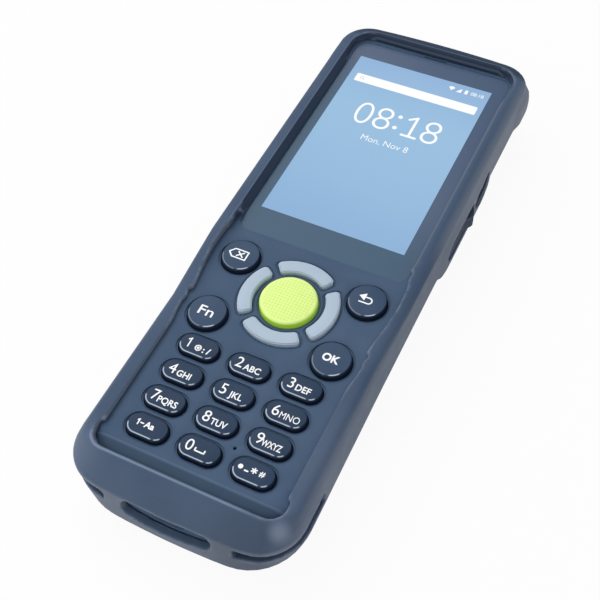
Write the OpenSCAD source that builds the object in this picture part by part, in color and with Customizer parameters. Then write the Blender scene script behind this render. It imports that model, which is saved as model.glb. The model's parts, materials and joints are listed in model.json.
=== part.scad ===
// A handheld barcode data terminal in its rubber boot, lying on its back.
// +Z leaves the screen, +Y points to the scanning end and +X to the right of the keys.
// The origin is the middle of the footprint, on the surface that the boot lies on.
// Lengths are in millimetres. Sizes in Y are measured from the middle of the length.

/* [Case] */
// Width of the case beside the cover glass
case_side = 3.3; // [3.1:0.1:4]
// Length of the case above the cover glass
case_head = 4.1; // [3.9:0.1:4.6]
// Distance of the last row of keys above the sloping chin
keypad_foot = 10.6; // [10:0.1:14]
// Thickness of the plastic case, from the keypad plate to the back
case_t = 18.5; // [18.5:0.1:19.5]
// Height of the joint between the two shells above the back of the case
split_h = 8.4; // [8:0.1:8.8]
// Wall thickness of both shells
wall = 1.6; // [1.4:0.1:1.7]
// Radius of the lower corners in plan
foot_r = 11.4; // [10.6:0.2:12.4]
// Radius of the upper corners in plan
head_r = 7.6; // [7:0.2:9]
// Radius of the crowned lower end
foot_crown_r = 94; // [86:2:120]
// Radius of the crowned upper end
head_crown_r = 380; // [300:10:500]
// Length of the sloping chin below the keypad plate
chin_l = 8; // [7.6:0.1:8.4]

/* [Boot] */
// Rubber thickness at the sides and ends
boot_wall = 2.6; // [2.2:0.1:3]
// Rubber taken off the upper edge beside the number keys, where the hand grips
grip_relief = 1; // [0.8:0.1:1.2]
// Rubber added to each side at the lower end
foot_flare = 0.5; // [0.2:0.1:0.8]
// Rubber thickness under the back
boot_back = 2; // [1.8:0.1:2.6]
// Rise of the lip above the case beside the display
lip_rise = 2.8; // [2:0.1:3.2]
// Rise of the lip above the case round the number keys
grip_lip_rise = 1.6; // [1.2:0.1:1.8]
// Gap between the boot and the case
boot_fit = 0.15; // [0.1:0.05:0.25]
// How far the lip laps over the case beside the display
window_lap = 3.4; // [3.2:0.1:3.6]
// How far the lip laps over the case beside the round keys
round_key_lap = 1.3; // [1.2:0.1:1.8]
// How far the lip laps over the case beside the number keys
grip_lap = 3.6; // [3.2:0.1:3.8]
// How far the lip leans outwards from the display
window_flare = 1.6; // [0.8:0.1:1.8]
// Height of the raised pads round the side keys
pad_rise = 0.7; // [0.5:0.1:1.1]
// Distance of the pads' lower end below the triggers
pad_tail = 3.8; // [3:0.2:6]
// Height of the bumpers at the upper corners
bumper_rise = 1.4; // [0.8:0.1:1.6]
// Distance of the bumpers' lower end from the upper end of the boot
bumper_l = 20.4; // [18:0.2:24]
// Width of the charging slot in the lower end
foot_slot_w = 26.4; // [25.6:0.2:30]
// Height of the charging slot in the lower end
foot_slot_h = 4.8; // [4.6:0.1:5]
// Height of the strap slots in the lower corners
strap_slot_h = 3.8; // [3:0.1:4]
// Length of the strap slots' ends along the sides
strap_slot_tail = 9.5; // [6:0.5:11]
// Gap between the battery lid and the sides of the opening in the back
back_window_side = 0.9; // [0.7:0.1:1.1]
// Distance of the opening in the back from the upper end of the case
back_window_head = 21.1; // [19:0.1:21.5]

/* [Display] */
// Width of the lit area
screen_w = 47.6; // [47:0.1:50]
// Length of the lit area
screen_l = 75.2; // [72:0.1:80]
// Width of the cover glass beside the lit area
glass_side = 3.4; // [3.2:0.1:4]
// Length of the cover glass above the lit area
glass_head = 6.3; // [6:0.1:7]
// Length of the cover glass below the lit area
glass_foot = 10.3; // [9:0.1:12]
// Thickness of the cover glass
glass_t = 1.1; // [0.9:0.05:1.2]
// Thickness of the display panel
panel_t = 2.3; // [2:0.1:2.4]
// Border of the display panel round the lit area
panel_border = 1.5; // [1.2:0.1:1.6]

/* [Keys] */
// Distance of the scan key below the cover glass
scan_key_drop = 19.5; // [19:0.1:20]
// Radius of the scan key
scan_key_r = 8.4; // [8:0.1:8.6]
// Rise of the scan key above the plate
scan_key_rise = 2.2; // [1.8:0.1:2.6]
// Inner radius of the ring of arrow keys
nav_inner_r = 10.5; // [10.4:0.05:10.7]
// Outer radius of the ring of arrow keys
nav_outer_r = 14.7; // [14.2:0.1:15]
// Angle that each arrow key spans
nav_span = 78; // [74:1:80]
// Rise of the arrow keys above the plate
nav_rise = 1.2; // [0.8:0.1:1.6]
// Radius of the four round keys
round_key_r = 5.8; // [5.4:0.1:5.9]
// Rise of the round keys above the plate
round_key_rise = 1.6; // [1.2:0.1:2]
// Distance of the upper two round keys from the middle of the width
upper_round_x = 20.2; // [20.1:0.1:20.8]
// Distance of the upper two round keys above the scan key
upper_round_y = 9; // [8.5:0.1:10]
// Distance of the lower two round keys from the middle of the width
lower_round_x = 19.3; // [19:0.1:19.4]
// Distance of the lower two round keys below the scan key
lower_round_y = 12.8; // [12.7:0.1:13]
// Rounding of the number keys' upper edge
pill_edge = 0.4; // [0.3:0.05:0.7]
// Rounding of the round keys' upper edge
round_edge = 0.5; // [0.3:0.05:0.8]
// Length of a number key
pill_l = 12.2; // [11.6:0.1:12.4]
// Width of a number key
pill_w = 6.8; // [6.2:0.1:6.9]
// Rise of the number keys above the plate
pill_rise = 1.3; // [1:0.1:1.6]
// Distance between the columns of number keys
pitch_x = 15.7; // [15.5:0.1:15.9]
// Distance between the rows of number keys
pitch_y = 9.2; // [9.1:0.05:9.3]
// Distance of the first row of number keys below the scan key
first_row = 24; // [23.9:0.1:24.2]
// Travel of the front keys
key_travel = 0.6; // [0.4:0.05:0.65]
// Gap between a key and the hole that it moves in
key_gap = 0.25; // [0.2:0.05:0.3]

/* [Side keys] */
// Distance of the power key from the upper end of the case
power_drop = 47; // [46.6:0.1:47.4]
// Length of the power key
power_l = 12.8; // [11:0.2:13.4]
// How far the power key stands out of the raised pad at its lower end
power_rise = 0.5; // [0.3:0.1:1]
// Distance of the scan triggers below the power key
trigger_drop = 19; // [18.8:0.1:20]
// Length of the scan triggers
trigger_l = 20.6; // [19:0.2:20.8]
// Height of the side keys
side_key_h = 4.8; // [4.2:0.1:5]
// How far the triggers lie inside the raised pad
trigger_sink = 0.4; // [0.3:0.1:0.8]
// How far the rest at the triggers' upper end stands out of the raised pad
trigger_rest = 1.2; // [0.4:0.1:1.4]
// Travel of the side keys
side_travel = 0.5; // [0.3:0.05:0.55]

/* [Battery and lid] */
// Distance of the battery lid from the sides of the case
lid_side = 8.5; // [8.4:0.1:8.8]
// Distance of the battery lid from the lower end of the case
lid_foot = 14.8; // [14.6:0.1:15]
// Length of the battery lid
lid_l = 76; // [74:0.2:76.2]
// Thickness of the battery lid
lid_t = 1.6; // [1.4:0.1:1.7]
// Distance of the battery from the sides of its lid
battery_side = 2.5; // [2.3:0.1:4]
// Distance of the battery from the lower end of its lid
battery_foot = 4; // [3.8:0.1:5]
// Distance of the battery from the upper end of its lid
battery_head = 6; // [5.8:0.1:8]
// Thickness of the battery
battery_t = 7.1; // [6:0.1:7.3]
// Gap round the lid, and round the battery in its bay
lid_gap = 0.3; // [0.2:0.05:0.4]
// Radius of the pins that the lid turns on
pin_r = 0.6; // [0.5:0.05:0.65]
// Width of the battery latch
latch_w = 16; // [14:0.2:18]
// Travel of the battery latch
latch_travel = 2.5; // [2.3:0.1:2.7]

/* [Inside] */
// Thickness of the main board
board_t = 1; // [0.8:0.05:1.1]
// Distance of the main board from the sides of the case
board_side = 7.7; // [7.6:0.1:8.1]
// Height of the main board's upper face below the front of the case
board_depth = 5.5; // [5.4:0.05:5.6]
// Width of the scanning engine
engine_w = 20; // [18:0.5:21]
// Length of the scanning engine
engine_l = 13; // [11:0.2:13.4]
// Height of the scanning engine
engine_h = 9.4; // [8:0.1:9.6]
// Width of the scanning window
scan_window_w = 31; // [28:0.2:32]
// Height of the scanning window
scan_window_h = 7.6; // [7:0.1:7.8]
// Radius of a case screw's shank
screw_r = 0.95; // [0.85:0.05:1]

/* [Hidden] */
$fn = 48;

// Colours
boot_blue = [0.29, 0.35, 0.44];
case_blue = [0.26, 0.33, 0.42];
key_navy = [0.16, 0.2, 0.28];
scan_green = [0.78, 0.95, 0.35];
arc_grey = [0.66, 0.72, 0.79];
glass_navy = [0.32, 0.37, 0.46];
screen_blue = [0.58, 0.74, 0.88];
steel_grey = [0.7, 0.71, 0.73];
board_green = [0.1, 0.35, 0.22];
part_black = [0.12, 0.12, 0.13];
contact_gold = [0.85, 0.68, 0.32];

// Thickness of the plates that a hull is drawn between
skin = 0.1;
// Depth that a cut runs on past a face
over = 1;
// Gap between two pieces that are fastened together
seat = 0.1;

// The cover glass goes round the lit area, and the case round the glass and the keys
key_rows = 4;
glass_w = screen_w + 2 * glass_side;
glass_l = glass_foot + screen_l + glass_head;
case_w = glass_w + 2 * case_side;
case_l = case_head + glass_l + scan_key_drop + first_row + (key_rows - 1) * pitch_y
    + keypad_foot + chin_l;
glass_y = case_l / 2 - case_head - glass_l / 2;
screen_y = case_l / 2 - case_head - glass_head - screen_l / 2;
scan_key_y = glass_y - glass_l / 2 - scan_key_drop;
power_y = case_l / 2 - power_drop;
trigger_y = power_y - trigger_drop;
lid_w = case_w - 2 * lid_side;
battery_w = lid_w - 2 * battery_side;
battery_l = lid_l - battery_foot - battery_head;
board_w = case_w - 2 * board_side;
// Points on a quarter of a corner, and on a crowned end
corner_n = 9;
crown_n = 8;

// Heights
case_back = boot_back;
case_front = boot_back + case_t;
split_z = case_back + split_h;
plate_z = case_front - wall;
board_top = case_front - board_depth;
board_bottom = board_top - board_t;
floor_z = case_back + wall;
deck_t = 1;
deck_top = board_bottom - 2;
deck_bottom = deck_top - deck_t;

// Outline of the boot
boot_grow = boot_wall + boot_fit;
boot_w = case_w + 2 * boot_grow;
boot_l = case_l + 2 * boot_grow;
boot_top = case_front + lip_rise;
grip_top = case_front + grip_lip_rise;
// Where the boot narrows from the display to the number keys
shoulder_top_y = scan_key_y + 14;
shoulder_foot_y = scan_key_y - 11;

// Display stack
glass_top = case_front - seat;
glass_bottom = glass_top - glass_t;
glass_r = 3.6;
panel_top = glass_bottom - seat;
panel_bottom = panel_top - panel_t;
panel_w = screen_w + 2 * panel_border;
panel_l = screen_l + 4 * panel_border;
panel_gap = 0.3;
frame_t = 0.6;
frame_top = panel_bottom - 0.2;
frame_bottom = frame_top - frame_t;
ledge_t = 1.4;

// Keys: the flange under the plate, the plunger and the dome that it presses
flange_t = 0.8;
flange_gap = 0.15;
flange_out = 0.7;
flange_top = plate_z - flange_gap;
flange_bottom = flange_top - flange_t;
mat_t = 0.5;
mat_top = flange_bottom - key_travel - 0.15;
plunger_r = 1.3;
dome_h = 0.7;
dome_r = 2.4;
sheet_t = 0.15;
plunger_tip = board_top + dome_h + key_travel + 0.05;
dish_out = 0.8;
dish_depth = 0.25;
keypad_top_y = glass_y - glass_l / 2 - 1.8;
plate_foot_y = -case_l / 2 + chin_l;

// Side keys, measured outwards from the middle of the width
side_z = board_top - 0.7;
pad_foot_y = trigger_y - trigger_l / 2 - pad_tail;
pad_head_y = power_y + power_l / 2 + 1.5;
pad_x = boot_w / 2 + pad_rise;
side_wall_x = case_w / 2 - wall;
side_flange_out = 1;
side_key_edge = 0.5;
pill_dome = 0.2;
round_dome = 0.25;
scan_dome = 0.3;
scan_edge = 1;
side_flange_end = 0.4;
side_flange_x = side_wall_x - 0.3;
side_flange_t = 0.8;
switch_x = side_flange_x - side_flange_t - side_travel - 0.6;

// Battery bay and lid
lid_foot_y = -case_l / 2 + lid_foot;
lid_head_y = lid_foot_y + lid_l;
lid_y = (lid_foot_y + lid_head_y) / 2;
lid_top = case_back + lid_t;
bay_wall = 1.5;
bay_w = lid_w + 2 * lid_gap + 2 * bay_wall;
ledge_z = lid_top + 0.6;
battery_bottom = lid_top + seat;
battery_y = lid_foot_y + battery_foot + battery_l / 2;
bay_foot_y = lid_foot_y - lid_gap - bay_wall;
bay_head_y = lid_head_y + 2;
back_foot_y = bay_foot_y - 1.5;
back_head_y = case_l / 2 - back_window_head;
// Axis that the lid turns about, in the middle of its rounded lower edge
hinge_y = lid_foot_y + lid_t / 2;
hinge_z = case_back + lid_t / 2;
pin_gap = 0.1;
pin_out = 1.2;

// Latch
latch_t = 0.75;
latch_lap = 2.3;
latch_l = 9.6;
latch_foot_y = lid_head_y - latch_lap;
latch_stem_w = 8;
latch_stem_l = 3;
latch_stem_y = lid_head_y + 4.6;
latch_pocket = latch_t + 0.15;

// Scanning end
scan_z = case_back + 7.4;
scan_recess = 0.8;
scan_window_t = 1.4;
scan_window_y = case_l / 2 - scan_recess - scan_window_t / 2;
scan_frame_t = 3.6;
engine_y = scan_window_y - scan_frame_t - 0.7 - engine_l / 2;

// Strap pins in the lower corners
corner_x = case_w / 2 - foot_r;
corner_y = -case_l / 2 + foot_crown_r
    - sqrt(pow(foot_crown_r - foot_r, 2) - pow(corner_x, 2));
strap_z = case_front - 6.3;
strap_pin_r = 1;
strap_reach = foot_r - 3.3;
strap_core_r = 5;
strap_block_h = 7;
strap_pin_h = 5.4;
strap_room_h = strap_slot_h + 0.4;

// Case screws
boss_r = 2.2;
boss_x = case_w / 2 - 5.3;
screw_gap = 0.05;
screw_head_r = 1.85;
screw_head_h = 1.4;
boss_ys = [lid_foot_y + 4, lid_head_y - 10, screen_y + 19];
boss_top = frame_bottom + 0.1;

// Rear fittings
rear_y = screen_y + 7;
speaker_x = -11;
camera_x = 10;
board_foot_y = -case_l / 2 + 5.2;
board_head_y = engine_y - engine_l / 2 - 1.6;
dock_l = 3.2;
dock_recess = 1.3;
board_screw_r = 0.75;
board_screw_spots = [[corner_x - 4.1, board_foot_y + 3.6], [board_w / 2 - 2.8, board_head_y - 3.4]];
usb_w = 9;
usb_h = 3.2;
usb_l = 7.4;
usb_z = board_top - 0.4;
usb_y = -case_l / 2 + 0.7 + usb_l / 2;
mic_x = pitch_x / 2;
mic_y = scan_key_y - first_row - 2.5 * pitch_y;

// ---- outlines ----

// Points on an arc, without the first and last when skip is 1
function arc(cx, cy, r, from, to, n, skip = 0) =
    [for (i = [skip : n - skip]) let (a = from + (to - from) * i / n)
        [cx + r * cos(a), cy + r * sin(a)]];

// One crowned end of a plan outline, from its right side to its left
function end_arc(half_w, reach, r, crown) =
    let (cx = half_w - r)
    let (yc = reach - crown)
    let (cy = yc + sqrt(pow(crown - r, 2) - cx * cx))
    let (a = atan2(cy - yc, cx))
    concat(arc(cx, cy, r, 0, a, corner_n), arc(0, yc, crown, a, 180 - a, crown_n, 1),
        arc(-cx, cy, r, 180 - a, 180, corner_n));

// The plan outline, with its sides, foot and head standing in by the given amounts
function plan(side, foot, head, grow = 0) =
    let (half_w = case_w / 2 + grow - side)
    let (head_pts = end_arc(half_w, case_l / 2 + grow - head,
        head_r + grow - min(side, head), head_crown_r + grow - head))
    let (foot_pts = end_arc(half_w, case_l / 2 + grow - foot,
        foot_r + grow - min(side, foot), foot_crown_r + grow - foot))
    concat(head_pts, [for (p = foot_pts) -p]);

// Points of a rounded rectangle
function rounded_points(w, l, r) =
    concat(arc(w / 2 - r, l / 2 - r, r, 0, 90, 5), arc(r - w / 2, l / 2 - r, r, 90, 180, 5),
        arc(r - w / 2, r - l / 2, r, 180, 270, 5), arc(w / 2 - r, r - l / 2, r, 270, 360, 5));

// A closed outline made of its right half, which runs from the head to the foot
function both_sides(half) =
    concat(half, [for (i = [1 : len(half)]) [-half[len(half) - i][0], half[len(half) - i][1]]]);

// Rings of a body: height, then how far its sides, foot and head stand in
case_rings = [
    [case_front, 0.8, chin_l, 0.8],
    [case_front - 1.2, 0.25, chin_l - 2.4, 0.25],
    [case_front - 4.4, 0, 0.8, 0],
    [case_front - 8, 0, 0, 0],
    [case_back + 6, 0.3, 0.3, 0.3],
    [case_back + 2.5, 1.3, 1.3, 1.3],
    [case_back, 3.4, 3.4, 3.4]];

// The case's rings moved inwards by the wall
inner_rings = [for (g = case_rings)
    [floor_z + (g[0] - case_back) * (case_t - 2 * wall) / case_t,
        g[1] + wall, g[2] + wall, g[3] + wall]];

// Section of the boot below its upper edge: height, then how far the side stands in
flank = [
    [case_front - 6, 0],
    [case_front - 7.5, 0],
    [case_front - 10.5, 0.5],
    [boot_back + 4, 1.7],
    [boot_back + 0.5, 3.3],
    [boot_back * 0.4, 4.4],
    [0, 5.8]];

display_section = concat([
    [boot_top, 3.2],
    [boot_top - 0.35, 1.8],
    [boot_top - 1.3, 0.5],
    [boot_top - 3, 0.1]], flank);

// Rings of the lower end: height, how far the side stands in at the waist and at the
// foot, how far the foot stands in, corner radius and crown radius.
// The upper rings form a sloping hood over the strap slots, the lower ones a crowned band.
foot_out_r = foot_r + boot_grow;
foot_out_crown = foot_crown_r + boot_grow;
foot_rings = [
    [grip_top, grip_relief + 2.75, grip_relief + 2.75, 10.2, 7.5, 400],
    [grip_top - 0.3, grip_relief + 1.65, grip_relief + 1.65, 9.2, 8.4, 400],
    [grip_top - 1.1, grip_relief + 0.75, grip_relief + 0.7, 7.5, 9.4, 400],
    [grip_top - 2.6, grip_relief - 0.05, grip_relief - 0.3, 4.9, 10.8, 400],
    [grip_top - 4.5, grip_relief * 0.5, 0.4 - foot_flare, 2.3, 12, 400],
    [case_front - 6, 0, -foot_flare, 1, 13, 150],
    [case_front - 9, 0.1, 0.1 - foot_flare, 0, foot_out_r, foot_out_crown - 15],
    [case_front - 12, 0.8, 0.9 - foot_flare, 0.5, foot_out_r + 0.7, foot_out_crown - 8],
    [boot_back + 4, 1.7, 1.6 - foot_flare, 1, foot_out_r + 2, 280],
    [boot_back + 0.5, 3.3, 3.5 - foot_flare, 3, foot_out_r - 1, foot_out_crown],
    [boot_back * 0.4, 4.4, 4.4, 4.2, foot_out_r - 2, foot_out_crown],
    [0, 5.8, 5.8, 5.6, foot_out_r - 3, foot_out_crown]];

// The closed outline from a straight upper edge at y down to the crowned foot
function foot_outline(g, y) =
    concat([[boot_w / 2 - g[1], y], [-boot_w / 2 + g[1], y]],
        [for (p = end_arc(boot_w / 2 - g[2], boot_l / 2 - g[3], g[4], g[5])) -p]);

// ---- shared shapes ----

// A convex body drawn through its rings
module ringed(rings, grow = 0)
{
    hull()
        for (g = rings)
            translate([0, 0, g[0]])
                linear_extrude(skin)
                    polygon(plan(g[1], g[2], g[3], grow));
}

// A thin slice across the boot
module cross_slice(section, y)
{
    translate([0, y, 0])
        rotate([90, 0, 0])
            linear_extrude(skin)
                polygon(both_sides([for (g = section) [boot_w / 2 - g[1], g[0]]]));
}

// Half space above or below a height
module slab(z_low, z_high)
{
    translate([-case_w, -case_l, z_low])
        cube([2 * case_w, 2 * case_l, z_high - z_low]);
}

// A box centred in X and Y that stands on a height
module block(x, y, z, w, l, h)
{
    translate([x - w / 2, y - l / 2, z])
        cube([w, l, h]);
}

// A flat stadium outline, its length along X
module stadium(l, w)
{
    square([l - w, w], center = true);
    for (s = [-1, 1])
        translate([s * (l - w) / 2, 0])
            circle(d = w);
}

// A rounded rectangle
module rounded(w, l, r)
{
    square([w, l - 2 * r], center = true);
    square([w - 2 * r, l], center = true);
    for (sx = [-1, 1], sy = [-1, 1])
        translate([sx * (w / 2 - r), sy * (l / 2 - r)])
            circle(r = r);
}

// Half of a key's section: flat foot, upright side, rounded edge and a slightly domed top
function key_half(r, low, high, edge, dome) =
    concat([[0, low], [r, low]], arc(r - edge, high - dome - edge, edge, 0, 90, 5),
        [[r * 0.45, high - dome * 0.25], [0, high]]);

// A round key top
module round_top(r, low, high, edge, dome)
{
    rotate_extrude()
        polygon(key_half(r, low, high, edge, dome));
}

// A stadium key top, its length along X
module pill_top(l, w, low, high, edge, dome)
{
    half = key_half(w / 2, low, high, edge, dome);
    n = len(half) - 1;
    for (s = [-1, 1])
        translate([s * (l - w) / 2, 0, 0])
            rotate_extrude()
                polygon(half);
    rotate([90, 0, 90])
        translate([0, 0, -(l - w) / 2])
            linear_extrude(l - w)
                polygon(concat(half, [for (i = [0 : n - 1]) [-half[n - 1 - i][0], half[n - 1 - i][1]]]));
}

// A ring sector with rounded corners, centred on +Y
function sector(outer, inner, half, r) =
    let (ao = half - asin(r / (outer - r)))
    let (ai = half - asin(r / (inner + r)))
    let (ro = outer - r)
    let (ri = inner + r)
    concat(arc(0, 0, outer, 90 - ao, 90 + ao, 14, 1),
        arc(ro * cos(90 + ao), ro * sin(90 + ao), r, 90 + ao, 180 + half, 5),
        arc(ri * cos(90 + ai), ri * sin(90 + ai), r, 180 + half, 270 + ai, 5),
        arc(0, 0, inner, 90 + ai, 90 - ai, 12, 1),
        arc(ri * cos(90 - ai), ri * sin(90 - ai), r, 270 - ai, 360 - half, 5),
        arc(ro * cos(90 - ai), ro * sin(90 - ao), r, 360 - half, 450 - ao, 5));

// ---- places of the keys ----

function pill_spot(col, row) = [col * pitch_x, scan_key_y - first_row - row * pitch_y];

pill_spots = [for (row = [0 : key_rows - 1], col = [-1 : 1]) pill_spot(col, row)];
round_spots = [
    [-upper_round_x, scan_key_y + upper_round_y],
    [upper_round_x, scan_key_y + upper_round_y],
    [-lower_round_x, scan_key_y - lower_round_y],
    [lower_round_x, scan_key_y - lower_round_y]];
nav_turns = [0, 90, 180, 270];
nav_mid_r = (nav_inner_r + nav_outer_r) / 2;
nav_spots = [for (t = nav_turns)
    [nav_mid_r * cos(t + 90), scan_key_y + nav_mid_r * sin(t + 90)]];
plunger_spots = concat(pill_spots, round_spots, nav_spots, [[0, scan_key_y]]);

// The keys' outlines, grown on all sides
module nav_outline(grow)
{
    half = nav_span / 2 + asin(grow / nav_mid_r);
    polygon(sector(nav_outer_r + grow, nav_inner_r - grow, half, 1.2 + grow * 0.5));
}

module key_outlines(grow)
{
    for (p = pill_spots)
        translate(p)
            stadium(pill_l + 2 * grow, pill_w + 2 * grow);
    for (p = round_spots)
        translate(p)
            circle(r = round_key_r + grow);
    for (t = nav_turns)
        translate([0, scan_key_y])
            rotate(t)
                nav_outline(grow);
    translate([0, scan_key_y])
        circle(r = scan_key_r + grow);
}

// ---- boot ----

// Right half of the edge of the front opening, from the head to the foot.
// It steps out a little at the four corners and round the keys.
window_x = case_w / 2 - window_lap;
round_key_x = case_w / 2 - round_key_lap;
grip_x = case_w / 2 - grip_lap;
lip_step = 1.1;
lip_head_r = 5.5;
lip_foot_r = 4.5;
lip_head_y = glass_y + glass_l / 2 + 1;
lip_foot_y = plate_foot_y + 0.8;
lip_knee_y = glass_y - glass_l / 2 + 4.5;
lip_waist_y = scan_key_y - 7;
lip_half = concat(
    arc(window_x + lip_step - lip_head_r, lip_head_y - lip_head_r, lip_head_r, 90, 0, 8),
    [[window_x + lip_step, lip_head_y - 11.2],
        [window_x, lip_head_y - 12.7],
        [window_x, lip_knee_y],
        [window_x + 1.3, lip_knee_y - 1.5],
        [window_x + 1.1, lip_knee_y - 4],
        [round_key_x - 0.2, lip_knee_y - 7],
        [round_key_x, lip_knee_y - 11.5],
        [round_key_x - 0.1, scan_key_y + 9],
        [round_key_x - 0.5, scan_key_y + 4],
        [grip_x + 1.2, scan_key_y],
        [grip_x + 0.4, lip_waist_y + 2],
        [grip_x + 0.2, lip_waist_y],
        [grip_x + lip_step, lip_waist_y - 0.4],
        [grip_x + lip_step, lip_waist_y - 1.6],
        [grip_x + 0.5, lip_waist_y - 2.6],
        [grip_x + 0.9, lip_waist_y - 5],
        [grip_x + 0.7, lip_waist_y - 7.8],
        [grip_x + 0.1, lip_waist_y - 11.4],
        [grip_x, lip_waist_y - 16],
        [grip_x, lip_foot_y + 7],
        [grip_x + lip_step, lip_foot_y + 6.5]],
    arc(grip_x + lip_step - lip_foot_r, lip_foot_y + lip_foot_r, lip_foot_r, 0, -90, 8));

// Lean of the lip beside the display
module lip_flare()
{
    l = lip_head_y - lip_knee_y + 2;
    hull()
        for (g = [[case_front + 0.3, 0], [boot_top + skin, window_flare]])
            translate([0, lip_head_y - l / 2, g[0]])
                linear_extrude(skin)
                    polygon(rounded_points(2 * (window_x + g[1]), l + g[1], lip_foot_r + g[1] / 2));
}

module boot_body()
{
    hull()
        for (g = display_section)
            translate([0, 0, g[0]])
                linear_extrude(skin)
                    polygon(concat([[-boot_w / 2 + g[1], shoulder_top_y], [boot_w / 2 - g[1], shoulder_top_y]],
                        end_arc(boot_w / 2 - g[1], boot_l / 2 - g[1],
                            head_r + boot_grow - g[1] * 0.9, head_crown_r)));
    hull() {
        cross_slice(display_section, shoulder_top_y + skin);
        cross_slice([for (g = foot_rings) [g[0], g[1]]], shoulder_foot_y);
    }
    hull()
        for (g = foot_rings)
            translate([0, 0, g[0]])
                linear_extrude(skin)
                    polygon(foot_outline(g, shoulder_foot_y));
}

// Raised pads round the side keys, with sloping ends
module side_pads()
{
    hull()
        for (s = [-1, 1], g = [[0, 2.6, 0, 1.5], [pad_rise, 0, -9, 0]])
            translate([s * (boot_w / 2 + g[0]), (pad_head_y + g[2] + pad_foot_y - g[1]) / 2, side_z])
                rotate([90, 0, 90])
                    linear_extrude(skin, center = true)
                        polygon(rounded_points(pad_head_y + g[2] - pad_foot_y + g[1],
                            side_key_h + 4 + 2 * g[3], 3));
}

// Bumpers that thicken the two upper corners
module head_bumpers()
{
    out = boot_w / 2 + bumper_rise;
    head = boot_l / 2;
    foot = head - bumper_l;
    hull()
        for (g = [[boot_top - 2.4, 1.8], [case_front - 1.5, 0.3], [case_front - 3.5, 0],
            [case_front - 6.5, 0.1], [case_front - 9, 1], [case_front - 12, 2.6]])
            translate([0, 0, g[0]])
                linear_extrude(skin)
                    polygon(both_sides([[boot_w / 2 - 3.6, head - 3.4], [out - 0.9 - g[1], head - 7],
                        [out - 0.2 - g[1], head - 9.5], [out - g[1], head - 12],
                        [out - g[1], foot + 2.5 + g[1]],
                        [boot_w / 2 - g[1] * 0.5 - 0.2, foot - 0.3 + g[1]]]));
}

// The slots round the two lower corners, where a strap goes in
module strap_slots()
{
    reach = 2 * foot_r;
    for (s = [0, 1])
        mirror([s, 0, 0])
            translate([corner_x, corner_y, strap_z - strap_slot_h / 2])
                difference() {
                    linear_extrude(strap_slot_h)
                        polygon([[-1, 0], [0.2, -reach], [reach, -reach], [reach, strap_slot_tail + 1.5],
                            [foot_r - 1.2, strap_slot_tail], [foot_r - 1.2, 0]]);
                    translate([0, 0, -over])
                        cylinder(r = foot_r - 1.5, h = strap_slot_h + 2 * over);
                }
}

module boot()
{
    color(boot_blue)
        difference() {
            union() {
                boot_body();
                side_pads();
                head_bumpers();
            }
            ringed(case_rings, boot_fit);
            // front opening
            translate([0, 0, case_front - over])
                linear_extrude(lip_rise + 2 * over)
                    polygon(both_sides(lip_half));
            lip_flare();
            // back opening
            translate([0, (back_foot_y + back_head_y) / 2, -over])
                linear_extrude(boot_back + 2 * over)
                    rounded(lid_w + 2 * back_window_side, back_head_y - back_foot_y, 5);
            // openings for the side keys
            side_hole(power_y, power_l, 0.8, 1);
            for (s = [-1, 1])
                side_hole(trigger_y, trigger_l, 0.8, s);
            // scanning opening
            translate([0, boot_l / 2 - boot_wall - 2, scan_z])
                rotate([-90, 0, 0])
                    linear_extrude(boot_wall + 4)
                        stadium(scan_window_w + 3.4, scan_window_h + 2.4);
            // charging slot
            translate([0, -boot_l / 2 - over, usb_z])
                rotate([-90, 0, 0])
                    linear_extrude(boot_wall + over + 3)
                        stadium(foot_slot_w, foot_slot_h);
            strap_slots();
        }
}

// A stadium cut through one side, for a side key
module side_hole(y, l, gap, s)
{
    inner_x = side_wall_x - over;
    translate([s > 0 ? inner_x : -pad_x - over, y, side_z])
        rotate([90, 0, 90])
            linear_extrude(pad_x + over - inner_x)
                stadium(l + 2 * gap, side_key_h + 2 * gap);
}

// ---- case ----

// Bosses that the case screws go into, each with a rib to the side wall
module bosses(low, high)
{
    rib_x = side_wall_x + 0.5;
    intersection() {
        ringed(case_rings);
        for (s = [-1, 1], y = boss_ys) {
            translate([s * boss_x, y, low])
                cylinder(r = boss_r, h = high - low);
            block(s * (boss_x + rib_x) / 2, y, low, rib_x - boss_x, 1.4, high - low);
        }
    }
}

module boss_bores(r, low, high)
{
    for (s = [-1, 1], y = boss_ys)
        translate([s * boss_x, y, low])
            cylinder(r = r, h = high - low);
}

// The thick frame that the scanning window is seated in
module scan_frame()
{
    intersection() {
        ringed(case_rings);
        block(0, case_l / 2 - scan_frame_t / 2, scan_z - scan_window_h / 2 - 1.4,
            scan_window_w + 5, scan_frame_t, scan_window_h + 2.8);
    }
}

module scan_cut()
{
    translate([0, scan_window_y - scan_window_t / 2 - seat, scan_z])
        rotate([-90, 0, 0])
            linear_extrude(scan_recess + scan_window_t + over)
                stadium(scan_window_w + 2 * seat, scan_window_h + 2 * seat);
    translate([0, case_l / 2 - scan_frame_t - over, scan_z])
        rotate([-90, 0, 0])
            linear_extrude(scan_frame_t)
                stadium(scan_window_w - 2.6, scan_window_h - 2.6);
}

// Solid corners that hold the strap pins
module strap_corners()
{
    intersection() {
        ringed(case_rings);
        for (s = [-1, 1])
            translate([s * corner_x - (s > 0 ? 0 : foot_r), corner_y - foot_r - 4, strap_z - strap_block_h / 2])
                cube([foot_r, foot_r + 4, strap_block_h]);
    }
}

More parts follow.
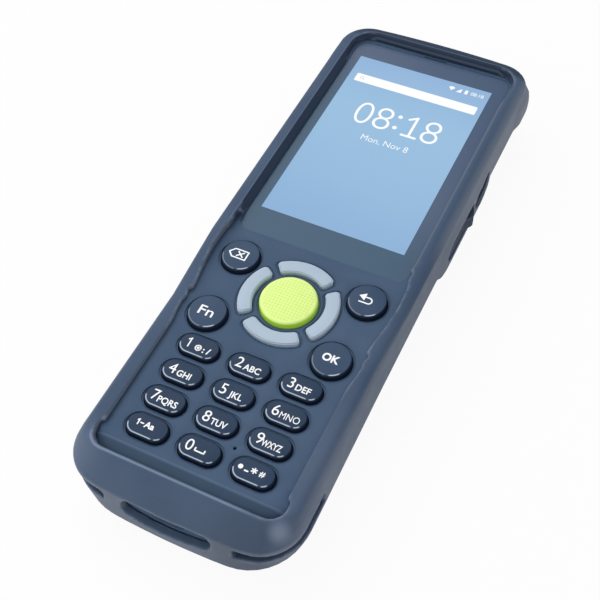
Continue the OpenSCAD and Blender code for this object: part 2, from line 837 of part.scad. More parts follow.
module strap_cuts()
{
    for (s = [-1, 1])
        translate([s * corner_x, corner_y, strap_z]) {
            difference() {
                translate([s > 0 ? 1.6 : -foot_r - 1.6 - over, -foot_r - 4 - over, -strap_room_h / 2])
                    cube([foot_r + over, foot_r + 4 + over, strap_room_h]);
                translate([0, 0, -strap_slot_h])
                    cylinder(r = strap_core_r, h = 2 * strap_slot_h);
            }
            rotate(s > 0 ? -45 : -135)
                translate([strap_reach, 0, -strap_pin_h / 2 - seat])
                    cylinder(r = strap_pin_r + 0.03, h = strap_pin_h + 2 * seat);
        }
}

module front_housing()
{
    color(case_blue)
        difference() {
            union() {
                difference() {
                    intersection() {
                        ringed(case_rings);
                        slab(split_z, case_front + over);
                    }
                    ringed(inner_rings);
                }
                // ledge under the cover glass
                translate([0, glass_y, glass_bottom - ledge_t])
                    linear_extrude(ledge_t + 0.8)
                        rounded(glass_w + 1, glass_l + 1, glass_r + 0.5);
                intersection() {
                    scan_frame();
                    slab(split_z, case_front);
                }
                strap_corners();
                bosses(split_z, boss_top);
            }
            // seat of the cover glass, and the opening for the display
            translate([0, glass_y, glass_bottom])
                linear_extrude(glass_t + 2 * over)
                    rounded(glass_w + 2 * seat, glass_l + 2 * seat, glass_r + seat);
            block(0, screen_y, glass_bottom - ledge_t - over, panel_w + 2 * panel_gap,
                panel_l + 2 * panel_gap, ledge_t + 2 * over);
            // dishes and holes of the keys
            translate([0, 0, case_front - dish_depth])
                linear_extrude(over)
                    key_outlines(dish_out);
            translate([0, 0, plate_z - over])
                linear_extrude(wall + 2 * over)
                    key_outlines(key_gap);
            // earpiece slit and microphone hole
            block(0, glass_y + glass_l / 2 + 0.45, glass_bottom - ledge_t - over, 8, 0.5, 6);
            translate([mic_x, mic_y, plate_z - over])
                cylinder(r = 0.5, h = wall + 2 * over);
            side_hole(power_y, power_l, key_gap, 1);
            for (s = [-1, 1])
                side_hole(trigger_y, trigger_l, key_gap, s);
            scan_cut();
            strap_cuts();
            boss_bores(screw_r + screw_gap, split_z - over, boss_top - 0.8);
            // room for the rear shell's battery bay
            block(0, (bay_foot_y + bay_head_y) / 2, split_z - over, bay_w + 2 * seat,
                bay_head_y - bay_foot_y + 2 * seat, deck_top + seat - split_z + over);
            // charging port and contacts in the lower end
            translate([0, -case_l / 2 - over, usb_z])
                rotate([-90, 0, 0])
                    linear_extrude(6)
                        stadium(usb_w + 0.8, usb_h + 0.8);
            dock_pads(0.05);
        }
}

module rear_housing()
{
    color(case_blue)
        difference() {
            union() {
                difference() {
                    intersection() {
                        ringed(case_rings);
                        slab(case_back - over, split_z);
                    }
                    ringed(inner_rings);
                }
                // walls and deck of the battery bay
                block(0, (bay_foot_y + bay_head_y) / 2, case_back, bay_w, bay_head_y - bay_foot_y,
                    deck_top - case_back);
                intersection() {
                    scan_frame();
                    slab(case_back, split_z);
                }
                bosses(case_back + 0.5, split_z);
                for (s = [-1, 1], p = board_screw_spots)
                    translate([s * p[0], p[1], case_back + 1])
                        cylinder(r = 1.9, h = board_bottom - case_back - 1);
            }
            // lid recess, battery bay and the holes of the lid's pins
            block(0, lid_y, case_back - over, lid_w + 2 * lid_gap, lid_l + 2 * lid_gap,
                ledge_z - case_back + over);
            block(0, battery_y + 0.2, ledge_z - over, battery_w + 2 * lid_gap + 0.4,
                battery_l + 2 * lid_gap + 1, deck_bottom - ledge_z + over);
            lid_pins(pin_gap);
            latch_cuts();
            // bores and counterbores of the case screws
            boss_bores(screw_r + 0.1, case_back, split_z + over);
            boss_bores(screw_head_r + 0.15, case_back - over, case_back + screw_head_h + 0.2);
            for (s = [-1, 1], p = board_screw_spots)
                translate([s * p[0], p[1], board_bottom - 5])
                    cylinder(r = board_screw_r + screw_gap, h = 5 + over);
            scan_cut();
            gasket_ring(0.05, split_z - 0.75, 0.75 + over);
            // camera window, speaker grille and card opening
            camera_cut();
            for (i = [-2 : 2])
                translate([speaker_x, rear_y + i * 1.9, case_back - over])
                    linear_extrude(wall + 2 * over)
                        stadium(10, 1);
            block(0, lid_y - 14, deck_bottom - over, 16, 14, deck_t + 2 * over);
            block(0, lid_head_y - 2.5, ledge_z + 1.3, 12.4, 5.4, deck_top);
        }
}

// A ring in the joint between the shells
module gasket_ring(gap, low, h)
{
    translate([0, 0, low])
        linear_extrude(h)
            difference() {
                polygon(plan(0.6 - gap, 0.6 - gap, 0.6 - gap));
                polygon(plan(1.25 + gap, 1.25 + gap, 1.25 + gap));
            }
}

module housing_gasket()
{
    color(part_black)
        difference() {
            gasket_ring(0, split_z - 0.7, 0.7);
            block(0, case_l / 2, split_z - 2, scan_window_w + 0.6, 8, 4);
        }
}

// ---- display ----

module cover_glass()
{
    color(glass_navy)
        translate([0, glass_y, glass_bottom])
            linear_extrude(glass_t)
                rounded(glass_w, glass_l, glass_r);
}

module lcd_panel()
{
    color(screen_blue)
        block(0, screen_y, panel_bottom, panel_w, panel_l, panel_t);
}

// Steel tray that carries the display on four feet
module lcd_frame()
{
    color(steel_grey) {
        difference() {
            block(0, screen_y, frame_bottom, panel_w - 2.4, panel_l - 4, frame_t);
            block(0, screen_y, frame_bottom - over, panel_w - 16, panel_l - 20, frame_t + 2 * over);
            for (s = [-1, 1])
                translate([s * boss_x, boss_ys[2], frame_bottom - over])
                    cylinder(r = boss_r + 0.4, h = frame_t + 2 * over);
        }
        for (s = [-1, 1], y = [screen_y - panel_l / 2 + 5, board_screw_spots[1][1] - 4.2])
            block(s * (board_w / 2 - 3), y, board_top + 0.05, 3, 2, frame_bottom - board_top);
    }
}

// Flat cable from the display's lower edge to its connector on the board
module display_flex()
{
    flex_w = 14;
    flex_t = 0.2;
    fold_y = screen_y - panel_l / 2 - 0.2;
    low = frame_bottom - 0.3;
    color(contact_gold) {
        block(0, fold_y, low, flex_w, flex_t, panel_bottom + 0.7 - low);
        block(0, fold_y - 3.4, low, flex_w, 7, flex_t);
        block(0, fold_y - 5.6, board_top + 0.05, flex_w + 2, 2.4, low - board_top - 0.05);
    }
}

// ---- keypad ----

module keypad_mat()
{
    foot_y = corner_y + 0.4;
    color(part_black)
        difference() {
            translate([0, (keypad_top_y + foot_y) / 2, mat_top - mat_t])
                linear_extrude(mat_t)
                    rounded(board_w + 6, keypad_top_y - foot_y, 4);
            for (p = plunger_spots)
                translate([p[0], p[1], mat_top - over - mat_t])
                    cylinder(r = plunger_r + 0.3, h = mat_t + 2 * over);
            translate([mic_x, mic_y, mat_top - over - mat_t])
                cylinder(r = 1, h = mat_t + 2 * over);
        }
}

module dome_sheet()
{
    foot_y = corner_y + 0.4;
    color(steel_grey) {
        difference() {
            translate([0, (keypad_top_y + foot_y) / 2, board_top])
                linear_extrude(sheet_t)
                    rounded(board_w - 2, keypad_top_y - foot_y - 2, 3);
            block(mic_x, mic_y, board_top - over, 4.6, 3.6, 3);
        }
        for (p = plunger_spots)
            translate([p[0], p[1], board_top + sheet_t])
                cylinder(r1 = dome_r, r2 = 1.2, h = dome_h - sheet_t);
    }
}

module key_foot(spot)
{
    translate([spot[0], spot[1], plunger_tip])
        cylinder(r = plunger_r, h = flange_bottom - plunger_tip + 0.2);
}

module pill_key(col, row)
{
    spot = pill_spot(col, row);
    color(key_navy) {
        translate(spot) {
            pill_top(pill_l, pill_w, flange_bottom, case_front + pill_rise, pill_edge, pill_dome);
            translate([0, 0, flange_bottom])
                linear_extrude(flange_t)
                    stadium(pill_l + 2 * flange_out, pill_w + 2 * flange_out);
        }
        key_foot(spot);
    }
}

module round_key(i)
{
    spot = round_spots[i];
    color(key_navy) {
        translate(spot) {
            round_top(round_key_r, flange_bottom, case_front + round_key_rise, round_edge, round_dome);
            translate([0, 0, flange_bottom])
                cylinder(r = round_key_r + flange_out, h = flange_t);
        }
        key_foot(spot);
    }
}

module nav_key(i)
{
    color(arc_grey) {
        translate([0, scan_key_y, 0])
            rotate(nav_turns[i]) {
                translate([0, 0, flange_bottom])
                    linear_extrude(case_front + nav_rise - 0.3 - flange_bottom)
                        nav_outline(0);
                translate([0, 0, case_front + nav_rise - 0.4])
                    linear_extrude(0.4)
                        nav_outline(-0.3);
                translate([0, 0, flange_bottom])
                    linear_extrude(flange_t)
                        nav_outline(flange_out - 0.1);
            }
        key_foot(nav_spots[i]);
    }
}

module key_1() { pill_key(-1, 0); }
module key_2() { pill_key(0, 0); }
module key_3() { pill_key(1, 0); }
module key_4() { pill_key(-1, 1); }
module key_5() { pill_key(0, 1); }
module key_6() { pill_key(1, 1); }
module key_7() { pill_key(-1, 2); }
module key_8() { pill_key(0, 2); }
module key_9() { pill_key(1, 2); }
module key_mode() { pill_key(-1, 3); }
module key_0() { pill_key(0, 3); }
module key_symbols() { pill_key(1, 3); }
module key_backspace() { round_key(0); }
module key_return() { round_key(1); }
module key_fn() { round_key(2); }
module key_ok() { round_key(3); }
module nav_up() { nav_key(0); }
module nav_left() { nav_key(1); }
module nav_down() { nav_key(2); }
module nav_right() { nav_key(3); }

module key_scan()
{
    color(scan_green) {
        translate([0, scan_key_y, 0]) {
            round_top(scan_key_r, flange_bottom, case_front + scan_key_rise, scan_edge, scan_dome);
            translate([0, 0, flange_bottom])
                cylinder(r = scan_key_r + flange_out - 0.1, h = flange_t);
        }
        key_foot([0, scan_key_y]);
    }
}

// ---- side keys ----

// A key that is pressed inwards, drawn on the right-hand side. Its face is a row of
// points from its upper end to its lower one: distance from the key's middle, and X.
module side_key(y, l, face)
{
    root_x = side_flange_x - side_flange_t;
    tip_x = switch_x + side_travel + 0.1;
    intersection() {
        translate([root_x, y, side_z])
            rotate([90, 0, 90])
                linear_extrude(max([for (p = face) p[1]]) - root_x)
                    stadium(l, side_key_h);
        translate([0, y, side_z - side_key_h])
            linear_extrude(2 * side_key_h)
                polygon(concat([[root_x, l / 2]], [for (p = face) [p[1], p[0]]], [[root_x, -l / 2]]));
    }
    translate([0, y, side_z])
        rotate([90, 0, 90]) {
            translate([0, 0, root_x])
                linear_extrude(side_flange_t)
                    stadium(l + 2 * side_flange_end, side_key_h + 2 * side_flange_out);
            translate([0, 0, tip_x])
                cylinder(r = 1.2, h = root_x + 0.3 - tip_x);
        }
}

module power_key()
{
    color(key_navy)
        side_key(power_y, power_l, [
            [power_l / 2, pad_x - 1.1], [power_l / 2 - side_key_edge, pad_x - 0.6],
            [0, pad_x + power_rise * 0.6], [1.5 - power_l / 2, pad_x + power_rise],
            [-power_l / 2, pad_x + power_rise - side_key_edge]]);
}

module trigger()
{
    low_x = pad_x - trigger_sink;
    side_key(trigger_y, trigger_l, [
        [trigger_l / 2, low_x - side_key_edge], [trigger_l / 2 - side_key_edge, low_x],
        [trigger_l / 2 - 3.2, pad_x + trigger_rest * 0.8], [trigger_l / 2 - 4.4, pad_x + trigger_rest],
        [trigger_l / 2 - 5.2, pad_x + trigger_rest * 0.8], [trigger_l / 2 - 7.2, low_x],
        [side_key_edge - trigger_l / 2, low_x], [-trigger_l / 2, low_x - side_key_edge]]);
}

module trigger_right()
{
    color(key_navy)
        trigger();
}

module trigger_left()
{
    color(key_navy)
        mirror([1, 0, 0])
            trigger();
}

// ---- electronics ----

module main_board()
{
    color(board_green)
        difference() {
            block(0, (board_foot_y + board_head_y) / 2, board_bottom, board_w,
                board_head_y - board_foot_y, board_t);
            block(0, board_foot_y, board_bottom - over, usb_w + 0.6,
                2 * (usb_y + usb_l / 2 + 0.3 - board_foot_y), board_t + 2 * over);
            for (s = [-1, 1]) {
                block(s * board_w / 2, board_foot_y, board_bottom - over,
                    2 * (board_w / 2 - corner_x + 0.6), 2 * (corner_y + 0.6 - board_foot_y),
                    board_t + 2 * over);
                for (p = board_screw_spots)
                    translate([s * p[0], p[1], board_bottom - over])
                        cylinder(r = board_screw_r + 0.1, h = board_t + 2 * over);
            }
            for (s = [-1, 1], y = boss_ys)
                translate([s * boss_x, y, board_bottom - over])
                    cylinder(r = boss_r + 0.3, h = board_t + 2 * over);
            block(0, lid_head_y - 2.5, board_bottom - over, 8, 2, board_t + 2 * over);
        }
}

module shield_cans()
{
    color(steel_grey)
        for (can = [[-11, lid_y + 8, 18, 16, 1.5], [11, lid_y + 10, 18, 20, 1.5], [0, screen_y - 12, 30, 22, 3]])
            difference() {
                block(can[0], can[1], board_bottom - can[4], can[2], can[3], can[4]);
                block(can[0], can[1], board_bottom - can[4] + 0.3, can[2] - 0.6, can[3] - 0.6, can[4]);
            }
}

// Three push switches on the edges of the main board
module side_switches()
{
    color(part_black)
        for (g = [[1, power_y], [1, trigger_y], [-1, trigger_y]])
            block(g[0] * (switch_x + board_w / 2) / 2, g[1], side_z - 1.4,
                switch_x - board_w / 2 - seat, 5, 2.8);
}

module scan_window()
{
    color([0.3, 0.05, 0.06])
        translate([0, scan_window_y - scan_window_t / 2, scan_z])
            rotate([-90, 0, 0])
                linear_extrude(scan_window_t)
                    stadium(scan_window_w, scan_window_h);
}

module scan_engine()
{
    low = floor_z + 0.9;
    color(part_black) {
        block(0, engine_y, low, engine_w, engine_l, engine_h);
        for (g = [[-engine_w / 4, 3], [engine_w / 4, 2.2]])
            translate([g[0], engine_y + engine_l / 2, low + engine_h / 2])
                rotate([-90, 0, 0])
                    cylinder(r = g[1], h = 0.5);
    }
}

// Sheet-steel cradle that holds the engine to the floor of the case
module engine_bracket()
{
    low = floor_z + 0.1;
    color(steel_grey) {
        block(0, engine_y, low, engine_w + 3, engine_l, 0.7);
        for (s = [-1, 1]) {
            block(s * (engine_w / 2 + 0.8), engine_y, low, 0.7, engine_l, engine_h * 0.7);
            block(s * (engine_w / 2 + 3), engine_y, low, 5, 5, 0.7);
        }
    }
}

module camera_cut()
{
    translate([camera_x - 3.5, rear_y, case_back - over])
        linear_extrude(over + 1.25)
            stadium(17.2, 9.7);
    translate([camera_x - 3.5, rear_y, case_back])
        linear_extrude(wall + over)
            stadium(13.5, 6.4);
}

module camera_window()
{
    color(part_black)
        translate([camera_x - 3.5, rear_y, case_back + 0.1])
            linear_extrude(1.1)
                stadium(17, 9.5);
}

// Camera with its lens barrel, and the lamp beside it
module camera_module()
{
    color(part_black) {
        block(camera_x, rear_y, floor_z + seat, 9, 9, 5.6);
        translate([camera_x, rear_y, case_back + 1.3])
            cylinder(r = 2.9, h = 2);
        block(camera_x - 7.5, rear_y, floor_z - 0.3, 4, 4, 1.6);
        block(camera_x - 7.5, rear_y, floor_z + 0.8, 8, 8, 0.6);
    }
}

module speaker()
{
    color(part_black)
        block(speaker_x, rear_y, floor_z + seat, 15, 12, 4);
}

module earpiece()
{
    ear_y = glass_y + glass_l / 2 + 0.5;
    color(part_black)
        block(0, ear_y - 0.6, glass_bottom - ledge_t - seat - 2.6, 10, 3.6, 2.6);
}

module microphone()
{
    color(steel_grey)
        block(mic_x, mic_y, board_top, 3.6, 2.8, 1);
}

module vibration_motor()
{
    color(steel_grey) {
        translate([-4, rear_y + 13, floor_z + seat + 2.4])
            rotate([0, 90, 0])
                cylinder(r = 2.2, h = 8);
        block(0, rear_y + 13, floor_z + seat, 6, 5.4, 1);
    }
}

module usb_connector()
{
    color(steel_grey)
        translate([0, usb_y - usb_l / 2, usb_z])
            rotate([-90, 0, 0]) {
                difference() {
                    linear_extrude(usb_l)
                        stadium(usb_w, usb_h);
                    translate([0, 0, -over])
                        linear_extrude(usb_l - 1.2 + over)
                            stadium(usb_w - 0.6, usb_h - 0.6);
                }
                translate([-3.2, -0.35, 0.6])
                    cube([6.4, 0.7, usb_l - 1]);
            }
}

// The charging contacts, grown on all sides
module dock_pads(grow)
{
    for (x = [-11, -8.4, 8.4, 11])
        translate([x, -case_l / 2 + (grow > 0 ? -over : dock_recess), usb_z])
            rotate([-90, 0, 0])
                cylinder(r = 0.9 + grow, h = grow > 0 ? dock_l + over + 1 : dock_l - dock_recess);
}

module dock_contacts()
{
    color(contact_gold)
        dock_pads(0);
}

// Contact block in the head wall of the battery bay, reaching up to the board
module battery_contacts()
{
    block_y = battery_y + battery_l / 2 + lid_gap + 0.9;
    color(contact_gold) {
        block(0, block_y + 1.6, ledge_z + 1.5, 12, 3, board_bottom - ledge_z - 1.6);
        for (x = [-4.5, -1.5, 1.5, 4.5])
            block(x, block_y - 0.1, ledge_z + 2.5, 1.2, 0.8, 1.6);
    }
}

module card_holder()
{
    color(steel_grey)
        block(0, lid_y - 14, board_bottom - 1.4, 15, 13, 1.4);
}

module antenna()
{
    color(contact_gold)
        block(-side_wall_x + 0.8, screen_y + 7, split_z + 1, 0.8, 16, 5);
}

module housing_screws()
{
    color(steel_grey)
        for (s = [-1, 1], y = boss_ys)
            translate([s * boss_x, y, case_back + 0.1]) {
                difference() {
                    cylinder(r = screw_head_r, h = screw_head_h);
                    translate([0, 0, -over])
                        cylinder(r = 0.7, h = over + 0.8, $fn = 6);
                }
                cylinder(r = screw_r, h = boss_top - 1.4 - case_back);
            }
}

module board_screws()
{
    color(steel_grey)
        for (s = [-1, 1], p = board_screw_spots)
            translate([s * p[0], p[1], board_bottom - 4.4]) {
                cylinder(r = board_screw_r, h = 4.4 + board_t);
                translate([0, 0, 4.4 + board_t])
                    difference() {
                        cylinder(r = 1.5, h = 0.8);
                        translate([0, 0, 0.4])
                            cylinder(r = 0.5, h = over, $fn = 6);
                    }
            }
}

module strap_pins()
{
    color(steel_grey)
        for (s = [-1, 1])
            translate([s * corner_x, corner_y, strap_z])
                rotate(s > 0 ? -45 : -135)
                    translate([strap_reach, 0, -strap_pin_h / 2])
                        cylinder(r = strap_pin_r, h = strap_pin_h);
}

// ---- battery ----

// The pins that the lid turns on, grown on all sides
module lid_pins(grow)
{
    for (s = [-1, 1])
        translate([s * (lid_w / 2 + (pin_out + grow) / 2 - 0.2), hinge_y, hinge_z])
            rotate([0, 90, 0])
                cylinder(r = pin_r + grow, h = pin_out + grow + 0.4, center = true);
}

module battery_cover()
{
    color(case_blue) {
        difference() {
            block(0, (hinge_y + lid_head_y) / 2, case_back, lid_w, lid_head_y - hinge_y, lid_t);
            // step that the latch holds, and grip lines below it
            block(0, lid_head_y, case_back - over, latch_w + 0.6, 2 * (latch_lap + 0.4),
                over + latch_t + 0.15);
            for (i = [0 : 4])
                block(0, lid_head_y - 8 - i * 2, case_back - over, 18, 0.8, over + 0.4);
        }
        translate([0, hinge_y, hinge_z])
            rotate([0, 90, 0])
                cylinder(r = lid_t / 2, h = lid_w, center = true);
        lid_pins(0);
    }
}

module battery_pack()
{
    color([0.2, 0.2, 0.22])
        block(0, battery_y, battery_bottom, battery_w, battery_l, battery_t);
}

// Soft seal round the lid, pressed against the ledge of the bay
module cover_seal()
{
    color(part_black)
        difference() {
            block(0, lid_y, lid_top, lid_w - 0.8, lid_l - 0.8, 0.4);
            block(0, lid_y, lid_top - over, lid_w - 2.6, lid_l - 2.6, 2 + over);
        }
}

// Pocket, slot and inner room of the latch in the rear shell
module latch_cuts()
{
    run = latch_l + latch_travel + 0.6;
    block(0, latch_foot_y + run / 2 - 0.3, case_back - over, latch_w + 0.6, run,
        over + latch_pocket);
    block(0, latch_stem_y + latch_travel / 2, case_back, latch_stem_w + 0.6,
        latch_stem_l + latch_travel + 0.6, wall + over);
}

module battery_latch()
{
    color(key_navy) {
        block(0, latch_foot_y + latch_l / 2, case_back, latch_w, latch_l, latch_t);
        for (i = [0 : 3])
            block(0, latch_stem_y - 1.9 + i * 1.4, case_back - 0.6, latch_w - 5, 0.7, 0.8);
        block(0, latch_stem_y, case_back, latch_stem_w, latch_stem_l, wall + 0.2);
        block(0, latch_stem_y, floor_z + 0.15, latch_stem_w + 5, latch_stem_l + 1.4, 0.8);
    }
}

boot();
front_housing();
rear_housing();
housing_gasket();
cover_glass();
lcd_panel();
lcd_frame();
display_flex();
keypad_mat();
dome_sheet();
main_board();
shield_cans();
side_switches();
scan_window();
scan_engine();
engine_bracket();
camera_module();
camera_window();
speaker();
earpiece();
microphone();
vibration_motor();
usb_connector();
dock_contacts();
battery_contacts();
card_holder();
antenna();
housing_screws();
board_screws();
strap_pins();
battery_cover();
battery_pack();
cover_seal();
battery_latch();
key_1();
key_2();
key_3();
key_4();
key_5();
key_6();
key_7();
key_8();
key_9();
key_mode();
key_0();
key_symbols();
key_backspace();
key_return();
key_fn();
key_ok();
nav_up();
nav_left();
nav_down();
nav_right();
key_scan();
power_key();
trigger_right();
trigger_left();
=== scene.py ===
"""Dresses a handheld data terminal: its rubber boot, case, keys, display and both ends."""

from __future__ import annotations

import json
import logging
import math
from dataclasses import dataclass
from enum import Enum
from typing import Callable, Iterable, Optional, Union

import bmesh
import bpy
from mathutils import Matrix, Vector
from mathutils.bvhtree import BVHTree

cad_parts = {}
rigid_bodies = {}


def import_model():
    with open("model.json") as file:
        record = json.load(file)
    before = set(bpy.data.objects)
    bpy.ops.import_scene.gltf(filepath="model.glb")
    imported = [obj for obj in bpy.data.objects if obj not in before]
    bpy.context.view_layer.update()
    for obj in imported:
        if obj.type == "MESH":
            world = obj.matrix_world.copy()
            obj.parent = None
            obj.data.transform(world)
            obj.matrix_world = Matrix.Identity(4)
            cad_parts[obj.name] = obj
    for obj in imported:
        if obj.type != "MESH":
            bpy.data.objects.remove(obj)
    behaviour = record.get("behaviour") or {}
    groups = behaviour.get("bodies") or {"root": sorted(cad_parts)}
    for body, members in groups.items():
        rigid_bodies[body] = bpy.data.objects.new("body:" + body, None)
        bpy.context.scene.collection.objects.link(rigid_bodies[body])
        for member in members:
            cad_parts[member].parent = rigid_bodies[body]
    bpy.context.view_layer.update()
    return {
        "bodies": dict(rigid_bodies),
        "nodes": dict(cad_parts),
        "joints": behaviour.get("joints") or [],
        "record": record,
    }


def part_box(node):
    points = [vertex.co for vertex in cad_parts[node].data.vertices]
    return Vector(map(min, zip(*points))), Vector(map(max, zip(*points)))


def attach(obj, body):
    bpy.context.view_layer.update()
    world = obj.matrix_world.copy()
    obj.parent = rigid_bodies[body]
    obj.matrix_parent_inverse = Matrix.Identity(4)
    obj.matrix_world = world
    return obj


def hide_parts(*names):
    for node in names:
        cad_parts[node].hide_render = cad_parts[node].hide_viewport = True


LOG = logging.getLogger("terminal")
MM = 0.001
ROOT = "terminal"
Colour = tuple[float, float, float, float]
Point = tuple[float, float]
Place = tuple[float, float, float]
Number = Union[float, "Signal"]
Shape = bmesh.types.BMesh
Material = bpy.types.Material
Socket = bpy.types.NodeSocket


def ink(red: int, green: int, blue: int) -> Colour:
    """A colour given as it shows on a screen, made linear."""
    parts = [part / 255 for part in (red, green, blue)]
    return (*(part / 12.92 if part <= 0.04045 else ((part + 0.055) / 1.055) ** 2.4 for part in parts), 1.0)


BLACK = (0.0, 0.0, 0.0, 1.0)
WHITE = (1.0, 1.0, 1.0, 1.0)
DUST = ink(150, 156, 165)


# ---- shader tools


def operator(operation: str, swapped: bool = False) -> Callable[..., Signal]:
    """Makes the method for one sign or one choice between two values.

    Args:
        operation: The Math node's operation.
        swapped: Whether the other value comes first.

    Returns:
        The method.
    """
    def method(self: Signal, other: Number) -> Signal:
        """Adds the operation's node."""
        return self.maths(operation, *((other, self) if swapped else (self, other)))
    return method


class Signal:
    """A shader socket that takes part in plain arithmetic."""

    def __init__(self, graph: Graph, socket: Socket) -> None:
        """Keeps the socket and the graph that it belongs to."""
        self.graph = graph
        self.socket = socket

    def maths(self, operation: str, *values: Number) -> Signal:
        """Adds one Math node on values or links."""
        made = self.graph.node("ShaderNodeMath", dict(enumerate(values)), operation=operation)
        return Signal(self.graph, made.outputs[0])

    __add__ = __radd__ = operator("ADD")
    __sub__ = operator("SUBTRACT")
    __rsub__ = operator("SUBTRACT", swapped=True)
    __mul__ = __rmul__ = operator("MULTIPLY")
    __truediv__ = operator("DIVIDE")
    larger = operator("MAXIMUM")
    smaller = operator("MINIMUM")

    def size(self) -> Signal:
        """The value without its sign."""
        return self.maths("ABSOLUTE", self)

    def rise(self, low: float, high: float) -> Signal:
        """Runs smoothly from 0 at low to 1 at high, which may be below low."""
        made = self.graph.node("ShaderNodeMapRange", {"Value": self, "From Min": low, "From Max": high},
                               interpolation_type="SMOOTHSTEP", clamp=True)
        return Signal(self.graph, made.outputs[0])

    def near(self, value: float, reach: float) -> Signal:
        """Falls smoothly from 1 at a value to 0 at a reach from it."""
        return (self - value).size().rise(reach, 0.0)


def span(*steps: Signal) -> Signal:
    """The length of a way with these steps."""
    total = sum((step * step for step in steps[1:]), steps[0] * steps[0])
    return total.maths("SQRT", total)


def past_corner(across: Signal, ahead: Signal, radius: float) -> Signal:
    """How far outside a rounded corner a place lies, given how far it lies past the corner's centre."""
    return span(across.larger(0.0), ahead.larger(0.0)) + across.larger(ahead).smaller(0.0) - radius


def fill(target: object, **settings: object) -> None:
    """Sets several attributes."""
    for key, value in settings.items():
        setattr(target, key, value)


class Graph:
    """A tree of shader nodes."""

    def __init__(self, tree: bpy.types.NodeTree) -> None:
        """Empties the tree."""
        self.tree = tree
        self.tree.nodes.clear()

    def node(self, kind: str, inputs: Optional[dict] = None, **settings: object) -> bpy.types.Node:
        """Adds any node.

        Args:
            kind: The node's type.
            inputs: Values or links for its sockets, by name or number.
            **settings: Its own settings, set first; "stops" are a colour ramp's.

        Returns:
            The node.
        """
        made = self.tree.nodes.new(kind)
        for turn, (position, colour) in enumerate(settings.pop("stops", ())):
            ramp = made.color_ramp.elements
            stop = ramp[turn] if turn < len(ramp) else ramp.new(position)
            fill(stop, position=position, color=colour)
        fill(made, **settings)
        for key, value in (inputs or {}).items():
            self.feed(made.inputs[key], value)
        return made

    def feed(self, socket: Socket, value: object) -> None:
        """Sets a socket, or links something to it.

        Args:
            socket: The input.
            value: A Signal, an output socket or a plain value.
        """
        value = getattr(value, "socket", value)
        if isinstance(value, Socket):
            self.tree.links.new(value, socket)
        else:
            socket.default_value = value

    def straight(self) -> Signal:
        """1 for rays that come from the camera, straight or through glass."""
        seen = self.node("ShaderNodeLightPath").outputs
        return Signal(self, seen["Is Camera Ray"]).larger(Signal(self, seen["Is Transmission Ray"]))


class Recipe(Graph):
    """A material in the making: one Principled shader, and the tone that colours are laid on in layers."""

    def __init__(self, name: str, tone: Colour) -> None:
        """Makes a plain material.

        Args:
            name: The material's name.
            tone: Its first colour.
        """
        self.material = bpy.data.materials.new(name)
        self.material.use_nodes = True
        super().__init__(self.material.node_tree)
        self.output = self.node("ShaderNodeOutputMaterial")
        self.shader = self.node("ShaderNodeBsdfPrincipled")
        self.feed(self.output.inputs["Surface"], self.shader.outputs[0])
        self.tone: Union[Colour, Socket] = tone
        where = self.node("ShaderNodeTexCoord").outputs
        self.place = where["Object"]
        self.x, self.y, self.z = self.parts(self.place)
        self.up = self.parts(where["Normal"])[2]

    def parts(self, vector: Socket) -> list[Signal]:
        """Splits a vector into its three parts."""
        return [Signal(self, part) for part in self.node("ShaderNodeSeparateXYZ", {0: vector}).outputs]

    def layer(self, factor: Number, colour: Colour) -> None:
        """Lays a colour over the tone so far, where the factor is 1."""
        mix = {0: factor, 6: self.tone, 7: colour}
        self.tone = self.node("ShaderNodeMix", mix, data_type="RGBA", clamp_factor=True).outputs[2]

    def noise(self, grain_mm: float, detail: float = 3.0, rough: float = 0.55, at: object = None) -> Signal:
        """Noise around 0.5, with features about grain_mm across and finer layers in them."""
        made = self.node("ShaderNodeTexNoise", {"Vector": at or self.place, "Scale": 1.0 / (grain_mm * MM),
                                                "Detail": detail, "Roughness": rough})
        return Signal(self, made.outputs[0])

    def held(self, name: str) -> Signal:
        """A number that the mesh holds at each point."""
        return Signal(self, self.node("ShaderNodeAttribute", attribute_name=name).outputs["Fac"])

    def set(self, **values: object) -> None:
        """Feeds the shader's sockets, named with _ for a space, and the tone where no Base_Color is given."""
        for key, value in {"Base_Color": self.tone, **values}.items():
            self.feed(self.shader.inputs[key.replace("_", " ")], value)

    def relief(self, height: Signal, depth_mm: float, strength: float) -> None:
        """Turns a height from 0 to 1, which is depth_mm high, into the shader's normal."""
        inputs = {"Height": height, "Distance": depth_mm * MM, "Strength": strength}
        self.feed(self.shader.inputs["Normal"], self.node("ShaderNodeBump", inputs).outputs[0])


# ---- finishes


@dataclass(frozen=True)
class Finish:
    """Any finish: a material in the making, and what is laid over its first colour."""

    r: Recipe

    def build(self) -> Material:
        """Dresses the material and hands it over."""
        self.dress()
        return self.r.material

    def dress(self) -> None:
        """Lays colours on and sets the shader."""
        raise NotImplementedError


